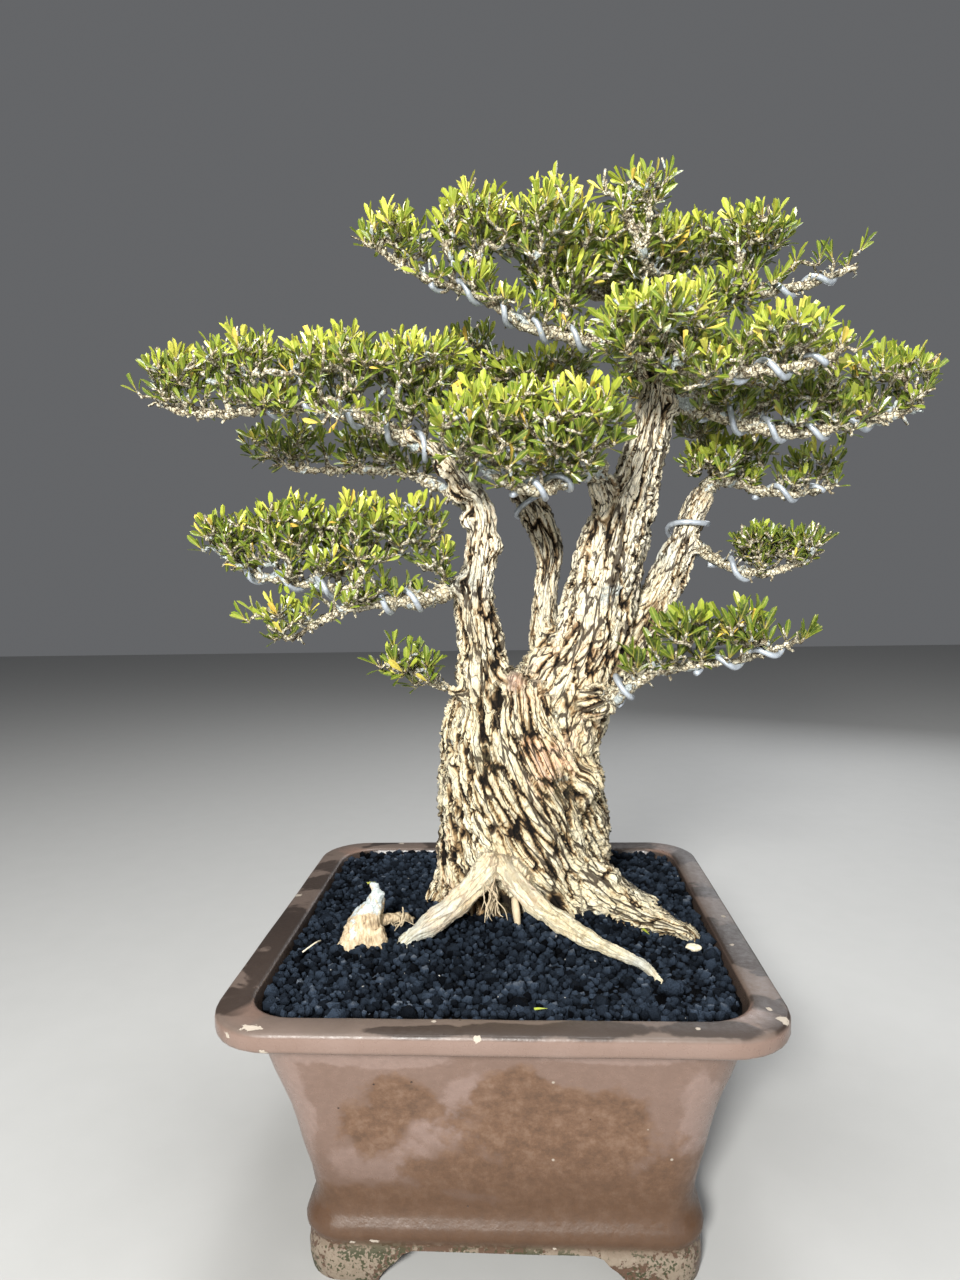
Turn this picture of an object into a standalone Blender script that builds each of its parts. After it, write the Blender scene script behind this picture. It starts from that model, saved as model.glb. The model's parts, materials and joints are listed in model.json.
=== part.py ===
"""A boxwood bonsai growing in its square, bracket-footed pot. Metres, +Z up, resting on z = 0.

The tables of points are in millimetres, measured from the middle of the pot at the height of its feet.
Everything hangs on one empty, which moves the pot sideways so that the origin is under the whole object's middle.
"""

import math
import random

import bmesh
import bpy
from mathutils import Matrix, Vector

MM = 0.001
GAP = 0.3
HOLE_GAP = 0.4
SEED = 11

# Where the pot's middle stands, so that the origin is under the middle of the whole object
POT_MIDDLE = (-27.5, 0.0, 0.0)

# Pot: half side, height and corner radius of each level, from the feet up the outside and down the inside
POT_CORNER_STEPS = 3
POT_OUTSIDE = (
    (110.0, 0.0, 20), (111.0, 12.0, 21), (109.5, 20.0, 21), (112.3, 27.0, 22), (109.0, 36.0, 22),
    (108.0, 45.0, 22), (113.0, 72.0, 23), (119.0, 100.0, 26), (126.5, 124.0, 29), (134.0, 149.0, 32),
    (147.0, 152.2, 33), (150.0, 155.0, 34), (150.0, 161.0, 34), (148.0, 164.0, 33),
)
POT_INSIDE = (
    (133.0, 164.0, 27), (131.0, 162.0, 26), (127.0, 145.0, 25), (117.0, 122.0, 23), (109.5, 100.0, 21),
    (103.0, 70.0, 19), (98.5, 45.0, 17), (97.0, 31.0, 15),
)
FOOT_INNER_HALF = 93.0
FOOT_INNER_CORNER = 12.0
UNDERSIDE_HEIGHT = 20.0
FOOT_ARCH = ((69.0, -1.0), (66.0, 6.0), (58.0, 13.0), (50.0, 18.0))
DRAIN_RADIUS = 12.0
DRAIN_PLACES = (-45.0, 45.0)
DRAIN_SIDES = 10
MESH_SIDE = 42.0
MESH_THICKNESS = 1.2

# Soil: its height at the wall and beside the trunk, and the relief of its grains
SOIL_EDGE_HEIGHT = 158.5
SOIL_MOUND = 7.0
SOIL_MOUND_SPREAD = 75.0
SOIL_MIDDLE = (15.0, 30.0)
GRAIN_RELIEF = 1.7
SOIL_CELLS = 12
SOIL_CELL_JITTER = 0.25
SOIL_TOP = 200.0

# Trunk: height, middle x and y, half width and half depth of each level
TRUNK_LEVELS = (
    (132, 15, 34, 54, 46), (152, 15, 33, 65, 55), (166, 15, 32, 65, 54), (180, 13, 31, 62, 50),
    (206, 12, 30, 60.5, 48), (234, 12, 29, 59, 47), (262, 12, 28, 56, 45), (290, 13, 28, 53, 42),
    (310, 17, 28, 46, 36), (320, 20, 29, 33, 27), (326, 22, 30, 14, 12),
)
TRUNK_SIDES = 24
TRUNK_TWIST = -0.12
TRUNK_SWELL = 1.5
TRUNK_LOBES = 3
TRUNK_LOBE_TURN = 0.9

# Bark: how far its ridges stand out, as a length and as the most that a thin limb allows, and how they wind
BARK_RIDGE = 3.0
BARK_SHARE = 0.16
BARK_TURN = 0.35

# Limbs and surface roots: x, y, z and radius along each
LIMBS = {
    "left": ((-4, 20, 268, 22), (-9, 16, 305, 21), (-12, 10, 339, 17), (-15, 5, 373, 14.4), (-12, 5, 403, 10.8),
             (-11, 5, 429, 10), (-21, 3, 448, 8.8), (-34, 0, 463, 7.8)),
    "rear": ((20, 42, 290, 16), (31, 46, 329, 13.5), (30, 50, 351, 10.5), (32, 55, 378, 9.8), (35, 60, 405, 11),
             (27, 65, 430, 12.4), (20, 68, 446, 11.6)),
    "main": ((28, 28, 268, 38), (42, 30, 309, 36), (61, 30, 344, 29), (70, 28, 378, 25.8), (76, 25, 403, 24.6),
             (83, 22, 428, 22), (92, 20, 453, 17), (99, 18, 477, 14), (104, 18, 498, 12.6), (108, 16, 520, 9.6),
             (111, 15, 545, 7.6), (108, 15, 564, 6.2)),
    "spur": ((78, 24, 410, 15), (71, 14, 436, 11.5), (66, 6, 450, 9.2)),
    "right": ((76, 34, 322, 18), (96, 35, 350, 17), (115, 38, 384, 13.2), (134, 42, 429, 10), (142, 45, 443, 8.6)),
    "nub": ((38, 20, 298, 17), (58, 4, 305, 13), (71, -7, 310, 10.5)),
}
ROOTS = (
    ((0, -2, 214, 12), (-12, -18, 196, 11), (-30, -27, 177, 9.8), (-46, -34, 164, 8.6), (-62, -42, 152, 5)),
    ((-2, -6, 210, 11), (6, -20, 193, 10.5), (26, -32, 175, 10.5), (48, -46, 166, 8.6), (68, -68, 162, 6.4),
     (86, -90, 156, 3)),
    ((48, 12, 192, 21), (72, -2, 173, 17), (92, -22, 165, 11), (108, -37, 161, 8), (120, -48, 155, 4)),
    ((56, 18, 182, 16), (86, 3, 168, 10), (105, -12, 162, 7), (118, -18, 154, 4)),
    ((58, 28, 182, 15), (88, 26, 166, 8), (104, 24, 160, 5.5), (113, 22, 153, 3.5)),
    ((-36, 24, 184, 16), (-56, 22, 163, 9), (-72, 20, 148, 5)),
    ((-10, 64, 188, 17), (-26, 84, 169, 11), (-42, 98, 161, 7), (-54, 108, 151, 4)),
    ((36, 66, 188, 18), (52, 88, 169, 12), (66, 102, 161, 7), (76, 110, 151, 4)),
)
STUMP = (
    ((-88, -32, 138, 13), (-88, -32, 160, 13.5), (-86, -31, 172, 10), (-81, -28, 181, 6.5), (-79, -27, 189, 3.6)),
    ((-84, -29, 168, 4.5), (-72, -21, 169, 3.2), (-62, -10, 164, 2.6), (-58, -2, 153, 2)),
)
LIMB_SIDES = 10
ROOT_SIDES = 6
STUB_COLLAR = 0.8

# Leafy branches. start: from the middle of a limb to the branch's seat outside its bark. path: from there on.
# forks: side branches. pads: middle and half size of each bunch of leaves. wired: the stretch with wire, if any.
SPRAYS = {
    "long_left": dict(
        start=((-21, 3, 448), (-34, 0, 463)), radius=7.0,
        path=((-57, -9, 476, 6), (-78, -15, 486, 5.4), (-102, -20, 493, 4.8), (-133, -23, 494, 4),
              (-160, -25, 492, 3.4), (-189, -25, 492, 2.8), (-210, -25, 500, 2)),
        pads=((-196, -25, 514, 29, 28, 23), (-150, -26, 520, 32, 36, 27), (-98, -22, 517, 35, 40, 28),
              (-46, -19, 513, 34, 42, 31)),
        wired=(0.06, 0.62),
    ),
    "left_rear": dict(
        start=((-14, 5, 432), (-27, 15, 441)), radius=5.2,
        path=((-45, 26, 452, 4.6), (-67, 34, 461, 4), (-103, 42, 464, 3.4), (-140, 46, 466, 2.8), (-160, 46, 476, 2)),
        pads=((-148, 46, 484, 36, 24, 20), (-88, 50, 484, 30, 26, 19)),
    ),
    "low_left": dict(
        start=((-13, 6, 387), (-31, -4, 380)), radius=7.2,
        path=((-46, -13, 375, 6.4), (-71, -22, 373, 5.2), (-95, -25, 380, 4.2), (-123, -26, 386, 3.4),
              (-149, -26, 391, 2.8), (-172, -25, 404, 2)),
        forks=(((-71, -22, 373, 3.8), (-93, -35, 369, 3), (-110, -40, 361, 2.6), (-124, -42, 352, 2)),),
        pads=((-167, -25, 415, 27, 26, 21), (-126, -26, 421, 30, 34, 25), (-84, -21, 416, 30, 36, 28),
              (-52, -20, 420, 24, 30, 24), (-132, -43, 364, 27, 18, 19)),
        wired=(0.50, 0.90),
    ),
    "low_shoot": dict(
        start=((-22, 8, 308), (-39, -1, 317)), radius=3.0,
        path=((-51, -9, 324, 2.6), (-66, -14, 333, 2)),
        pads=((-56, -11, 331, 22, 14, 16),),
    ),
    "centre": dict(
        start=((71, 14, 436), (66, 6, 450)), radius=8.0,
        path=((60, -8, 459, 6.6), (50, -27, 461, 5.4), (30, -46, 458, 4.2), (2, -60, 456, 3.4), (-18, -64, 458, 2.4)),
        pads=((46, -58, 474, 34, 38, 31), (-4, -62, 471, 34, 38, 29)),
        wired=(0.50, 0.92),
    ),
    "rear": dict(
        start=((27, 65, 430), (20, 68, 446)), radius=10.0,
        path=((13, 72, 464, 8.4), (11, 75, 488, 6.4), (18, 72, 508, 5), (30, 66, 522, 3.6)),
        forks=(((13, 72, 464, 6), (5, 94, 476, 5), (-2, 118, 482, 3.8), (-16, 132, 486, 2.6)),),
        pads=((44, 68, 535, 32, 34, 20), (0, 66, 533, 28, 34, 20), (-4, 122, 502, 44, 32, 26)),
    ),
    "low_right": dict(
        start=((58, 4, 305), (71, -7, 310)), radius=7.0,
        path=((80, -12, 315, 5.2), (89, -13, 320, 4.6), (100, -12, 327, 4), (126, -15, 330, 3.2), (156, -18, 335, 2.6),
              (179, -20, 343, 1.8)),
        pads=((116, -18, 354, 24, 26, 20), (156, -21, 354, 27, 24, 18)),
        wired=(0.50, 0.97),
    ),
    "right_low": dict(
        start=((127, 40, 414), (139, 30, 402)), radius=4.6,
        path=((149, 22, 394, 3.9), (162, 15, 388, 3.4), (181, 12, 388, 3), (204, 10, 397, 2)),
        pads=((171, 13, 408, 22, 22, 15), (200, 10, 408, 20, 18, 13)),
        wired=(0.08, 0.60),
    ),
    "right_middle": dict(
        start=((134, 42, 429), (142, 45, 443)), radius=7.2,
        path=((150, 48, 452, 5.6), (166, 52, 450, 4.6), (184, 54, 444, 4), (208, 54, 442, 3.2), (232, 54, 446, 2)),
        forks=(((150, 48, 452, 5), (150, 70, 476, 4.6), (142, 95, 502, 4), (132, 114, 520, 3)),),
        pads=((164, 58, 470, 32, 34, 20), (219, 55, 464, 21, 20, 16), (130, 118, 538, 48, 36, 30)),
        wired=(0.45, 0.93),
    ),
    "right": dict(
        start=((104, 18, 499), (120, 13, 497)), radius=7.2,
        path=((133, 10, 493, 6.2), (158, 5, 482, 5.4), (191, 0, 475, 4.6), (232, -5, 480, 3.4), (258, -8, 486, 2.2)),
        pads=((192, -3, 502, 31, 38, 23), (243, -6, 504, 31, 32, 24)),
        wired=(0.10, 0.90),
    ),
    "upper_right": dict(
        start=((105, 17, 506), (109, 2, 510)), radius=7.0,
        path=((113, -14, 510, 6.2), (124, -34, 505, 5.4), (142, -48, 502, 4.6), (166, -53, 502, 3.8),
              (192, -53, 507, 2.4)),
        forks=(((119, -26, 507, 4.4), (100, -46, 508, 3.8), (78, -58, 511, 2.6)),),
        pads=((94, -55, 528, 38, 42, 26), (166, -52, 526, 38, 40, 26)),
        wired=(0.32, 0.95),
    ),
    "top_left": dict(
        start=((106, 17, 512), (92, 12, 522)), radius=6.4,
        path=((67, 8, 535, 5.6), (42, 5, 541, 4.9), (22, 0, 545, 4.3), (4, -5, 555, 3.8), (-10, -8, 563, 3.4),
              (-33, -10, 570, 2.9), (-56, -12, 580, 2.4), (-70, -12, 590, 1.8)),
        pads=((-60, -12, 600, 27, 26, 20), (-12, -5, 603, 31, 34, 28), (36, 2, 605, 34, 42, 30)),
        wired=(0.08, 0.80),
    ),
    "apex": dict(
        start=((111, 15, 545), (108, 15, 564)), radius=5.6,
        path=((104, 15, 584, 4.8), (98, 15, 608, 3.8), (94, 15, 630, 2.6)),
        pads=((93, 15, 631, 22, 23, 19), (101, 14, 594, 31, 35, 22)),
    ),
    "top_right": dict(
        start=((110, 15, 550), (122, 20, 556)), radius=4.8,
        path=((136, 26, 562, 4.2), (152, 29, 568, 3.8), (174, 28, 570, 3.3), (198, 25, 572, 2.9), (217, 25, 578, 2.3),
              (234, 25, 583, 1.7)),
        pads=((164, 30, 602, 35, 38, 25), (224, 25, 588, 16, 12, 9)),
        wired=(0.42, 0.92),
    ),
    "rear_top": dict(
        start=((109, 16, 526), (107, 28, 536)), radius=5.4,
        path=((103, 42, 552, 4.8), (93, 62, 572, 4), (80, 80, 586, 3.2), (64, 90, 594, 2.4)),
        pads=((50, 84, 605, 34, 32, 24), (108, 86, 603, 34, 32, 24)),
    ),
}
SEAT_LENGTH = 4.0
TWIG_RADIUS = 1.9
TWIG_LEAN = 0.55
TWIG_NEAREST = 9.0
TWIG_SHIFT = 2.0
TWIG_TRIES = 16
TWIG_CHECKS = 10
WOOD_ROOM = 0.5
NEAREST_STEPS = 60

# Leaves, at true size, and the tufts that they stand in: each grows from one facet of the tuft's small woody knot
LEAF_LENGTH = 20.0
LEAF_WIDTH = 8.2
LEAF_THICKNESS = 1.4
LEAF_WIDEST = 0.70
LEAF_LIFT = 0.22
LEAF_JITTER = 0.10
LEAF_SHORTEST = 0.84
LEAF_LOWEST = -0.12
LEAF_ROOM = 0.42
LEAF_CHECKS = (0.2, 0.45, 0.7, 1.0)
LEAF_FREE_FROM = 0.7
LEAF_TRIES = 4
TWIG_SHADOW = 0.72
KNOT_RADIUS = 2.9
TUFT_REACH = 20.0
TUFTS_FOR_AREA = 0.00082
BUNCH_SPREAD = 1.15
BUNCH_DOME = 1.3
BUNCH_DROP = 4.0
BUNCH_STAGGER = 11.0

# Training wire
WIRE_RADIUS = 2.1
WIRE_PITCH = 21.0
WIRE_STEPS = 6

COLOURS = {
    "stoneware": ((0.235, 0.135, 0.098), 0.42, 0.0),
    "lava soil": ((0.012, 0.013, 0.018), 0.85, 0.0),
    "bark": ((0.62, 0.50, 0.34), 0.88, 0.0),
    "weathered wood": ((0.55, 0.53, 0.48), 0.90, 0.0),
    "foliage": ((0.25, 0.36, 0.035), 0.45, 0.0),
    "aluminium": ((0.48, 0.49, 0.50), 0.42, 1.0),
    "drain plastic": ((0.03, 0.05, 0.04), 0.60, 0.0),
}


# Scene helpers


def clear_scene():
    for old in list(bpy.data.objects):
        bpy.data.objects.remove(old)


def make_materials():
    made = {}
    for name, (colour, roughness, metallic) in COLOURS.items():
        material = bpy.data.materials.new(name)
        material.use_nodes = True
        shader = material.node_tree.nodes["Principled BSDF"]
        shader.inputs["Base Color"].default_value = (*colour, 1.0)
        shader.inputs["Roughness"].default_value = roughness
        shader.inputs["Metallic"].default_value = metallic
        material.diffuse_color = (*colour, 1.0)
        made[name] = material
    return made


def mesh_object(name, bm, collection):
    """A new object holding the bmesh as triangles that point outwards, which a Boolean then splits the same way."""
    bmesh.ops.triangulate(bm, faces=bm.faces)
    bmesh.ops.recalc_face_normals(bm, faces=bm.faces)
    mesh = bpy.data.meshes.new(name)
    bm.to_mesh(mesh)
    bm.free()
    obj = bpy.data.objects.new(name, mesh)
    collection.objects.link(obj)
    return obj


def apply_modifiers(obj):
    """Makes the object's mesh what its modifiers show, and takes them off."""
    bpy.context.view_layer.update()
    graph = bpy.context.evaluated_depsgraph_get()
    mesh = bpy.data.meshes.new_from_object(obj.evaluated_get(graph))
    obj.modifiers.clear()
    obj.data = mesh


def boolean(obj, operation, others):
    """Joins the others to the object or cuts them from it, and removes them."""
    scratch = bpy.data.collections.new("operands")
    bpy.context.scene.collection.children.link(scratch)
    for other in others:
        for owner in list(other.users_collection):
            owner.objects.unlink(other)
        scratch.objects.link(other)
    modifier = obj.modifiers.new("boolean", "BOOLEAN")
    modifier.operation = operation
    modifier.solver = "MANIFOLD"
    modifier.operand_type = "COLLECTION"
    modifier.collection = scratch
    apply_modifiers(obj)
    for other in others:
        bpy.data.objects.remove(other)
    bpy.data.collections.remove(scratch)


def island_volume(faces):
    total = 0.0
    for face in faces:
        first = face.verts[0].co
        for one, two in zip(face.verts[1:], face.verts[2:]):
            total += first.dot(one.co.cross(two.co))
    return total


def keep_main_body(obj):
    """Drops the scraps and the sealed hollows that a union leaves, which are separate islands of faces."""
    bm = bmesh.new()
    bm.from_mesh(obj.data)
    left = set(bm.faces)
    islands = []
    while left:
        island = set()
        edge_of_island = [left.pop()]
        while edge_of_island:
            face = edge_of_island.pop()
            island.add(face)
            for edge in face.edges:
                for neighbour in edge.link_faces:
                    if neighbour in left:
                        left.remove(neighbour)
                        edge_of_island.append(neighbour)
        islands.append(island)
    main = max(islands, key=island_volume)
    scraps = [face for face in bm.faces if face not in main]
    bmesh.ops.delete(bm, geom=scraps, context="FACES")
    bm.to_mesh(obj.data)
    bm.free()


# Shapes


def loft(bm, rings):
    """Skins a row of rings that have the same number of points, always split the same way, and closes both ends."""
    levels = [[bm.verts.new(point) for point in ring] for ring in rings]
    for low, high in zip(levels, levels[1:]):
        for i in range(len(low)):
            j = (i + 1) % len(low)
            bm.faces.new((low[i], low[j], high[j]))
            bm.faces.new((low[i], high[j], high[i]))
    bm.faces.new(levels[0][::-1])
    bm.faces.new(levels[-1])


def square_ring(half, height, corner, grow=0.0):
    """A level square with round corners, as points from one corner arc to the next."""
    half, corner = (half + grow) * MM, (corner + grow) * MM
    points = []
    for quarter in range(4):
        middle = Vector((half - corner, half - corner))
        for step in range(POT_CORNER_STEPS + 1):
            angle = math.pi / 2 * step / POT_CORNER_STEPS
            flat = middle + corner * Vector((math.cos(angle), math.sin(angle)))
            flat.rotate(Matrix.Rotation(quarter * math.pi / 2, 2))
            points.append(Vector((flat.x, flat.y, height * MM)))
    return points


def box(name, size, middle, collection):
    bm = bmesh.new()
    bmesh.ops.create_cube(bm, size=1.0)
    bmesh.ops.scale(bm, vec=Vector(size) * MM, verts=bm.verts)
    bmesh.ops.translate(bm, vec=Vector(middle) * MM, verts=bm.verts)
    return mesh_object(name, bm, collection)


def in_metres(points):
    return [Vector(point) * MM for point in points]


def directions(path):
    """The way the path runs at each of its points."""
    flat = [point.to_3d() for point in path]
    ways = []
    for i in range(len(flat)):
        before = flat[max(i - 1, 0)]
        after = flat[min(i + 1, len(flat) - 1)]
        ways.append((after - before).normalized())
    return ways


def bark_tube(name, points, sides, collection, grow=0.0):
    """A limb or root: rings across its path, with ridges that run along it."""
    path = in_metres(points)
    ways = directions(path)
    across = ways[0].cross(Vector((0.0, 1.0, 0.0))).normalized()
    rings = []
    for index, (point, way) in enumerate(zip(path, ways)):
        across = (across - way * across.dot(way)).normalized()
        other = way.cross(across)
        radius = point.w + grow * MM
        depth = min(BARK_RIDGE * MM, BARK_SHARE * radius)
        middle = point.to_3d()
        if index in (0, len(path) - 1):
            middle = middle + way * (grow * MM if index else -grow * MM)
        ring = []
        for side in range(sides):
            angle = 2 * math.pi * (side + BARK_TURN * index) / sides
            reach = radius + depth * (1 if side % 2 else -1)
            ring.append(middle + (across * math.cos(angle) + other * math.sin(angle)) * reach)
        rings.append(ring)
    bm = bmesh.new()
    loft(bm, rings)
    return mesh_object(name, bm, collection)


def trunk_body(name, collection, grow=0.0):
    """The trunk itself: level rings, wider than deep, with bark ridges that turn as they rise."""
    rings = []
    last = len(TRUNK_LEVELS) - 1
    for index, (height, x, y, half_width, half_depth) in enumerate(TRUNK_LEVELS):
        height += grow * ((index == last) - (index == 0))
        turn = TRUNK_TWIST * index
        ring = []
        for side in range(TRUNK_SIDES):
            angle = 2 * math.pi * side / TRUNK_SIDES + turn
            ridge = min(BARK_RIDGE, BARK_SHARE * half_depth) * (1 if side % 2 else -1)
            swell = TRUNK_SWELL * math.sin(TRUNK_LOBES * angle + TRUNK_LOBE_TURN * index)
            reach = grow + ridge + swell
            ring.append(Vector((
                x + (half_width + reach) * math.cos(angle),
                y + (half_depth + reach) * math.sin(angle),
                height,
            )) * MM)
        rings.append(ring)
    bm = bmesh.new()
    loft(bm, rings)
    return mesh_object(name, bm, collection)


def curve_tube(name, path, resolution, collection, keep_curve=False):
    """A round tube along (x, y, z, radius) points. It is made a mesh unless it stays a curve."""
    data = bpy.data.curves.new(name, "CURVE")
    data.dimensions = "3D"
    data.bevel_depth = 1.0
    data.bevel_resolution = resolution
    data.use_fill_caps = True
    spline = data.splines.new("POLY")
    spline.points.add(len(path) - 1)
    for place, point in zip(spline.points, path):
        place.co = (*point.to_3d(), 1.0)
        place.radius = point.w
    curve = bpy.data.objects.new(name, data)
    collection.objects.link(curve)
    if keep_curve:
        return curve
    bpy.context.view_layer.update()
    graph = bpy.context.evaluated_depsgraph_get()
    mesh = bpy.data.meshes.new_from_object(curve.evaluated_get(graph))
    bpy.data.objects.remove(curve)
    bm = bmesh.new()
    bm.from_mesh(mesh)
    bpy.data.meshes.remove(mesh)
    bmesh.ops.remove_doubles(bm, verts=bm.verts, dist=0.00001)
    return mesh_object(name, bm, collection)


# Pot, soil and drainage


def make_pot(collection, cutters):
    rings = [square_ring(half, height, corner) for half, height, corner in POT_OUTSIDE]
    rings += [square_ring(half, height, corner) for half, height, corner in POT_INSIDE]
    foot = square_ring(FOOT_INNER_HALF, 0.0, FOOT_INNER_CORNER)
    under = square_ring(FOOT_INNER_HALF, UNDERSIDE_HEIGHT, FOOT_INNER_CORNER)
    bm = bmesh.new()
    loft(bm, [under, foot, *rings])
    pot = mesh_object("pot", bm, collection)
    arches = [foot_arch(cutters, turned) for turned in (False, True)]
    drains = [drain_cutter(cutters, x) for x in DRAIN_PLACES]
    boolean(pot, "DIFFERENCE", arches + drains)
    return pot


def foot_arch(collection, turned):
    """A cutter through two opposite sides, which leaves a bracket foot at each corner."""
    outline = [*FOOT_ARCH, *((-x, z) for x, z in reversed(FOOT_ARCH))]
    reach = POT_OUTSIDE[-1][0]
    rings = [[Vector((x, y, z)) * MM for x, z in outline] for y in (-reach, reach)]
    bm = bmesh.new()
    loft(bm, rings)
    if turned:
        bmesh.ops.rotate(bm, matrix=Matrix.Rotation(math.pi / 2, 3, "Z"), verts=bm.verts)
    return mesh_object("foot arch", bm, collection)


def drain_cutter(collection, x):
    bm = bmesh.new()
    depth = POT_INSIDE[-1][1] + UNDERSIDE_HEIGHT
    radius = DRAIN_RADIUS * MM
    bmesh.ops.create_cone(bm, cap_ends=True, segments=DRAIN_SIDES, radius1=radius, radius2=radius, depth=depth * MM)
    bmesh.ops.translate(bm, vec=Vector((x, 0.0, depth / 2)) * MM, verts=bm.verts)
    return mesh_object("drain", bm, collection)


def make_drain_meshes(collection):
    floor = POT_INSIDE[-1][1]
    middle = floor + GAP + MESH_THICKNESS / 2
    size = (MESH_SIDE, MESH_SIDE, MESH_THICKNESS)
    return [
        box(f"drain_mesh_{side}", size, (x, 0.0, middle), collection)
        for side, x in zip(("left", "right"), DRAIN_PLACES)
    ]


def soil_height(x, y):
    """How high the soil lies, without its grains: it rises gently towards the trunk."""
    away = math.hypot(x - SOIL_MIDDLE[0], y - SOIL_MIDDLE[1])
    return SOIL_EDGE_HEIGHT + SOIL_MOUND * math.exp(-((away / SOIL_MOUND_SPREAD) ** 2))


def make_soil(collection, cutters, wood_cutter):
    """The soil: a block that fills the pot, cut from above by the relief of its grains."""
    inside = POT_INSIDE[1:]
    rings = [square_ring(half, height, corner, -GAP) for half, height, corner in reversed(inside)]
    for point in rings[0]:
        point.z += GAP * MM
    half, _, corner = inside[0]
    rings.append(square_ring(half, SOIL_TOP, corner, -GAP))
    bm = bmesh.new()
    loft(bm, rings)
    soil = mesh_object("soil", bm, collection)
    boolean(soil, "DIFFERENCE", [grain_cutter(cutters)])
    floor = inside[-1][1]
    recess = (MESH_SIDE + 2 * GAP, MESH_SIDE + 2 * GAP, 2 * (MESH_THICKNESS + 2 * GAP))
    recesses = [box("mesh recess", recess, (x, 0.0, floor), cutters) for x in DRAIN_PLACES]
    boolean(soil, "DIFFERENCE", recesses)
    boolean(soil, "DIFFERENCE", [wood_cutter])
    keep_main_body(soil)
    return soil


def grain_cutter(collection):
    """What lies above the soil: its underside is a grid of seeded bumps on the mound."""
    rng = random.Random(SEED)
    reach = POT_OUTSIDE[-1][0]
    bm = bmesh.new()
    bmesh.ops.create_grid(bm, x_segments=SOIL_CELLS, y_segments=SOIL_CELLS, size=reach * MM)
    jitter = SOIL_CELL_JITTER * 2 * reach / SOIL_CELLS
    for vert in bm.verts:
        x, y = vert.co.x / MM, vert.co.y / MM
        vert.co.z = (soil_height(x, y) + rng.uniform(-GRAIN_RELIEF, GRAIN_RELIEF)) * MM
        vert.co.x += rng.uniform(-jitter, jitter) * MM
        vert.co.y += rng.uniform(-jitter, jitter) * MM
    raised = bmesh.ops.extrude_face_region(bm, geom=bm.faces[:])
    for vert in (item for item in raised["geom"] if isinstance(item, bmesh.types.BMVert)):
        vert.co.z = 2 * SOIL_TOP * MM
    return mesh_object("above the soil", bm, collection)


# Old wood


def wood_pieces(collection, grow=0.0, roots_only=False):
    """The trunk with its roots, and its limbs unless only the roots are asked for."""
    pieces = [trunk_body("trunk", collection, grow)]
    pieces += [bark_tube("root", points, ROOT_SIDES, collection, grow) for points in ROOTS]
    if not roots_only:
        pieces += [bark_tube("limb", points, LIMB_SIDES, collection) for points in LIMBS.values()]
        pieces += [seat_stub(plan, collection) for plan in SPRAYS.values() if plan["start"][0] not in LIMB_ENDS]
    return pieces


# A branch that carries on from a limb's last point needs no stub of its own
LIMB_ENDS = {tuple(points[-2][:3]) for points in LIMBS.values()}


def seat_stub(plan, collection):
    start, seat = (Vector(point) * MM for point in plan["start"])
    radius = (plan["radius"] + STUB_COLLAR) * MM
    return curve_tube("stub", [Vector((*start, radius)), Vector((*seat, radius))], 1, collection)


def make_wood(collection):
    pieces = wood_pieces(collection)
    boolean(pieces[0], "UNION", pieces[1:])
    keep_main_body(pieces[0])
    return pieces[0]


def stump_pieces(collection, grow=0.0):
    return [bark_tube("dead_root", points, ROOT_SIDES, collection, grow) for points in STUMP]


def make_stump(collection):
    pieces = stump_pieces(collection)
    boolean(pieces[0], "UNION", pieces[1:])
    keep_main_body(pieces[0])
    return pieces[0]


def make_wood_cutter(collection):
    """The shape of the hole in the soil: the buried wood and stump, a little larger all round."""
    pieces = wood_pieces(collection, HOLE_GAP, roots_only=True) + stump_pieces(collection, HOLE_GAP)
    boolean(pieces[0], "UNION", pieces[1:])
    return pieces[0]


# Leafy branches


class Clearance:
    """The room that is taken: round bars along wood, wire and leaves, each with the name of its owner."""

    def __init__(self):
        self.bars = []

    def add_path(self, path, extra, owner):
        for a, b in zip(path, path[1:]):
            self.bars.append((a.to_3d(), b.to_3d(), max(a.w, b.w) + extra * MM, owner))

    def add_leaf(self, root, tip, owner):
        self.bars.append((root, tip, LEAF_ROOM * LEAF_WIDTH * MM, owner))

    def is_clear(self, root, tip, owner):
        """Whether a leaf from root to tip stays off every bar. Near its root it may touch its own spray."""
        half_width = LEAF_ROOM * LEAF_WIDTH * MM
        for share in LEAF_CHECKS:
            point = root.lerp(tip, share)
            for a, b, radius, bar_owner in self.bars:
                if bar_owner == owner and share < LEAF_FREE_FROM:
                    continue
                if distance_to_bar(point, a, b) < radius + half_width:
                    return False
        return True


def distance_to_bar(point, a, b):
    along = b - a
    t = max(0.0, min(1.0, (point - a).dot(along) / along.length_squared))
    return (point - a - along * t).length


def branch_path(plan):
    """The branch from its seat on: first a short straight piece in line with the stub."""
    start, seat = (Vector(point) * MM for point in plan["start"])
    way = (seat - start).normalized()
    radius = plan["radius"] * MM
    first = [seat + way * GAP * MM, seat + way * SEAT_LENGTH * MM]
    return [Vector((*point, radius)) for point in first] + in_metres(plan["path"])


def path_lengths(path):
    lengths = [0.0]
    for a, b in zip(path, path[1:]):
        lengths.append(lengths[-1] + (b - a).to_3d().length)
    return lengths


def at_length(path, lengths, length):
    """The (x, y, z, radius) point at this length along the path, and the way it runs there."""
    length = max(0.0, min(lengths[-1], length))
    for i in range(len(path) - 1):
        if length <= lengths[i + 1]:
            break
    t = (length - lengths[i]) / (lengths[i + 1] - lengths[i])
    return path[i].lerp(path[i + 1], t), (path[i + 1] - path[i]).to_3d().normalized()


def nearest_length(path, lengths, target):
    tries = [lengths[-1] * step / NEAREST_STEPS for step in range(NEAREST_STEPS + 1)]
    return min(tries, key=lambda length: (at_length(path, lengths, length)[0].to_3d() - target).length)


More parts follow.
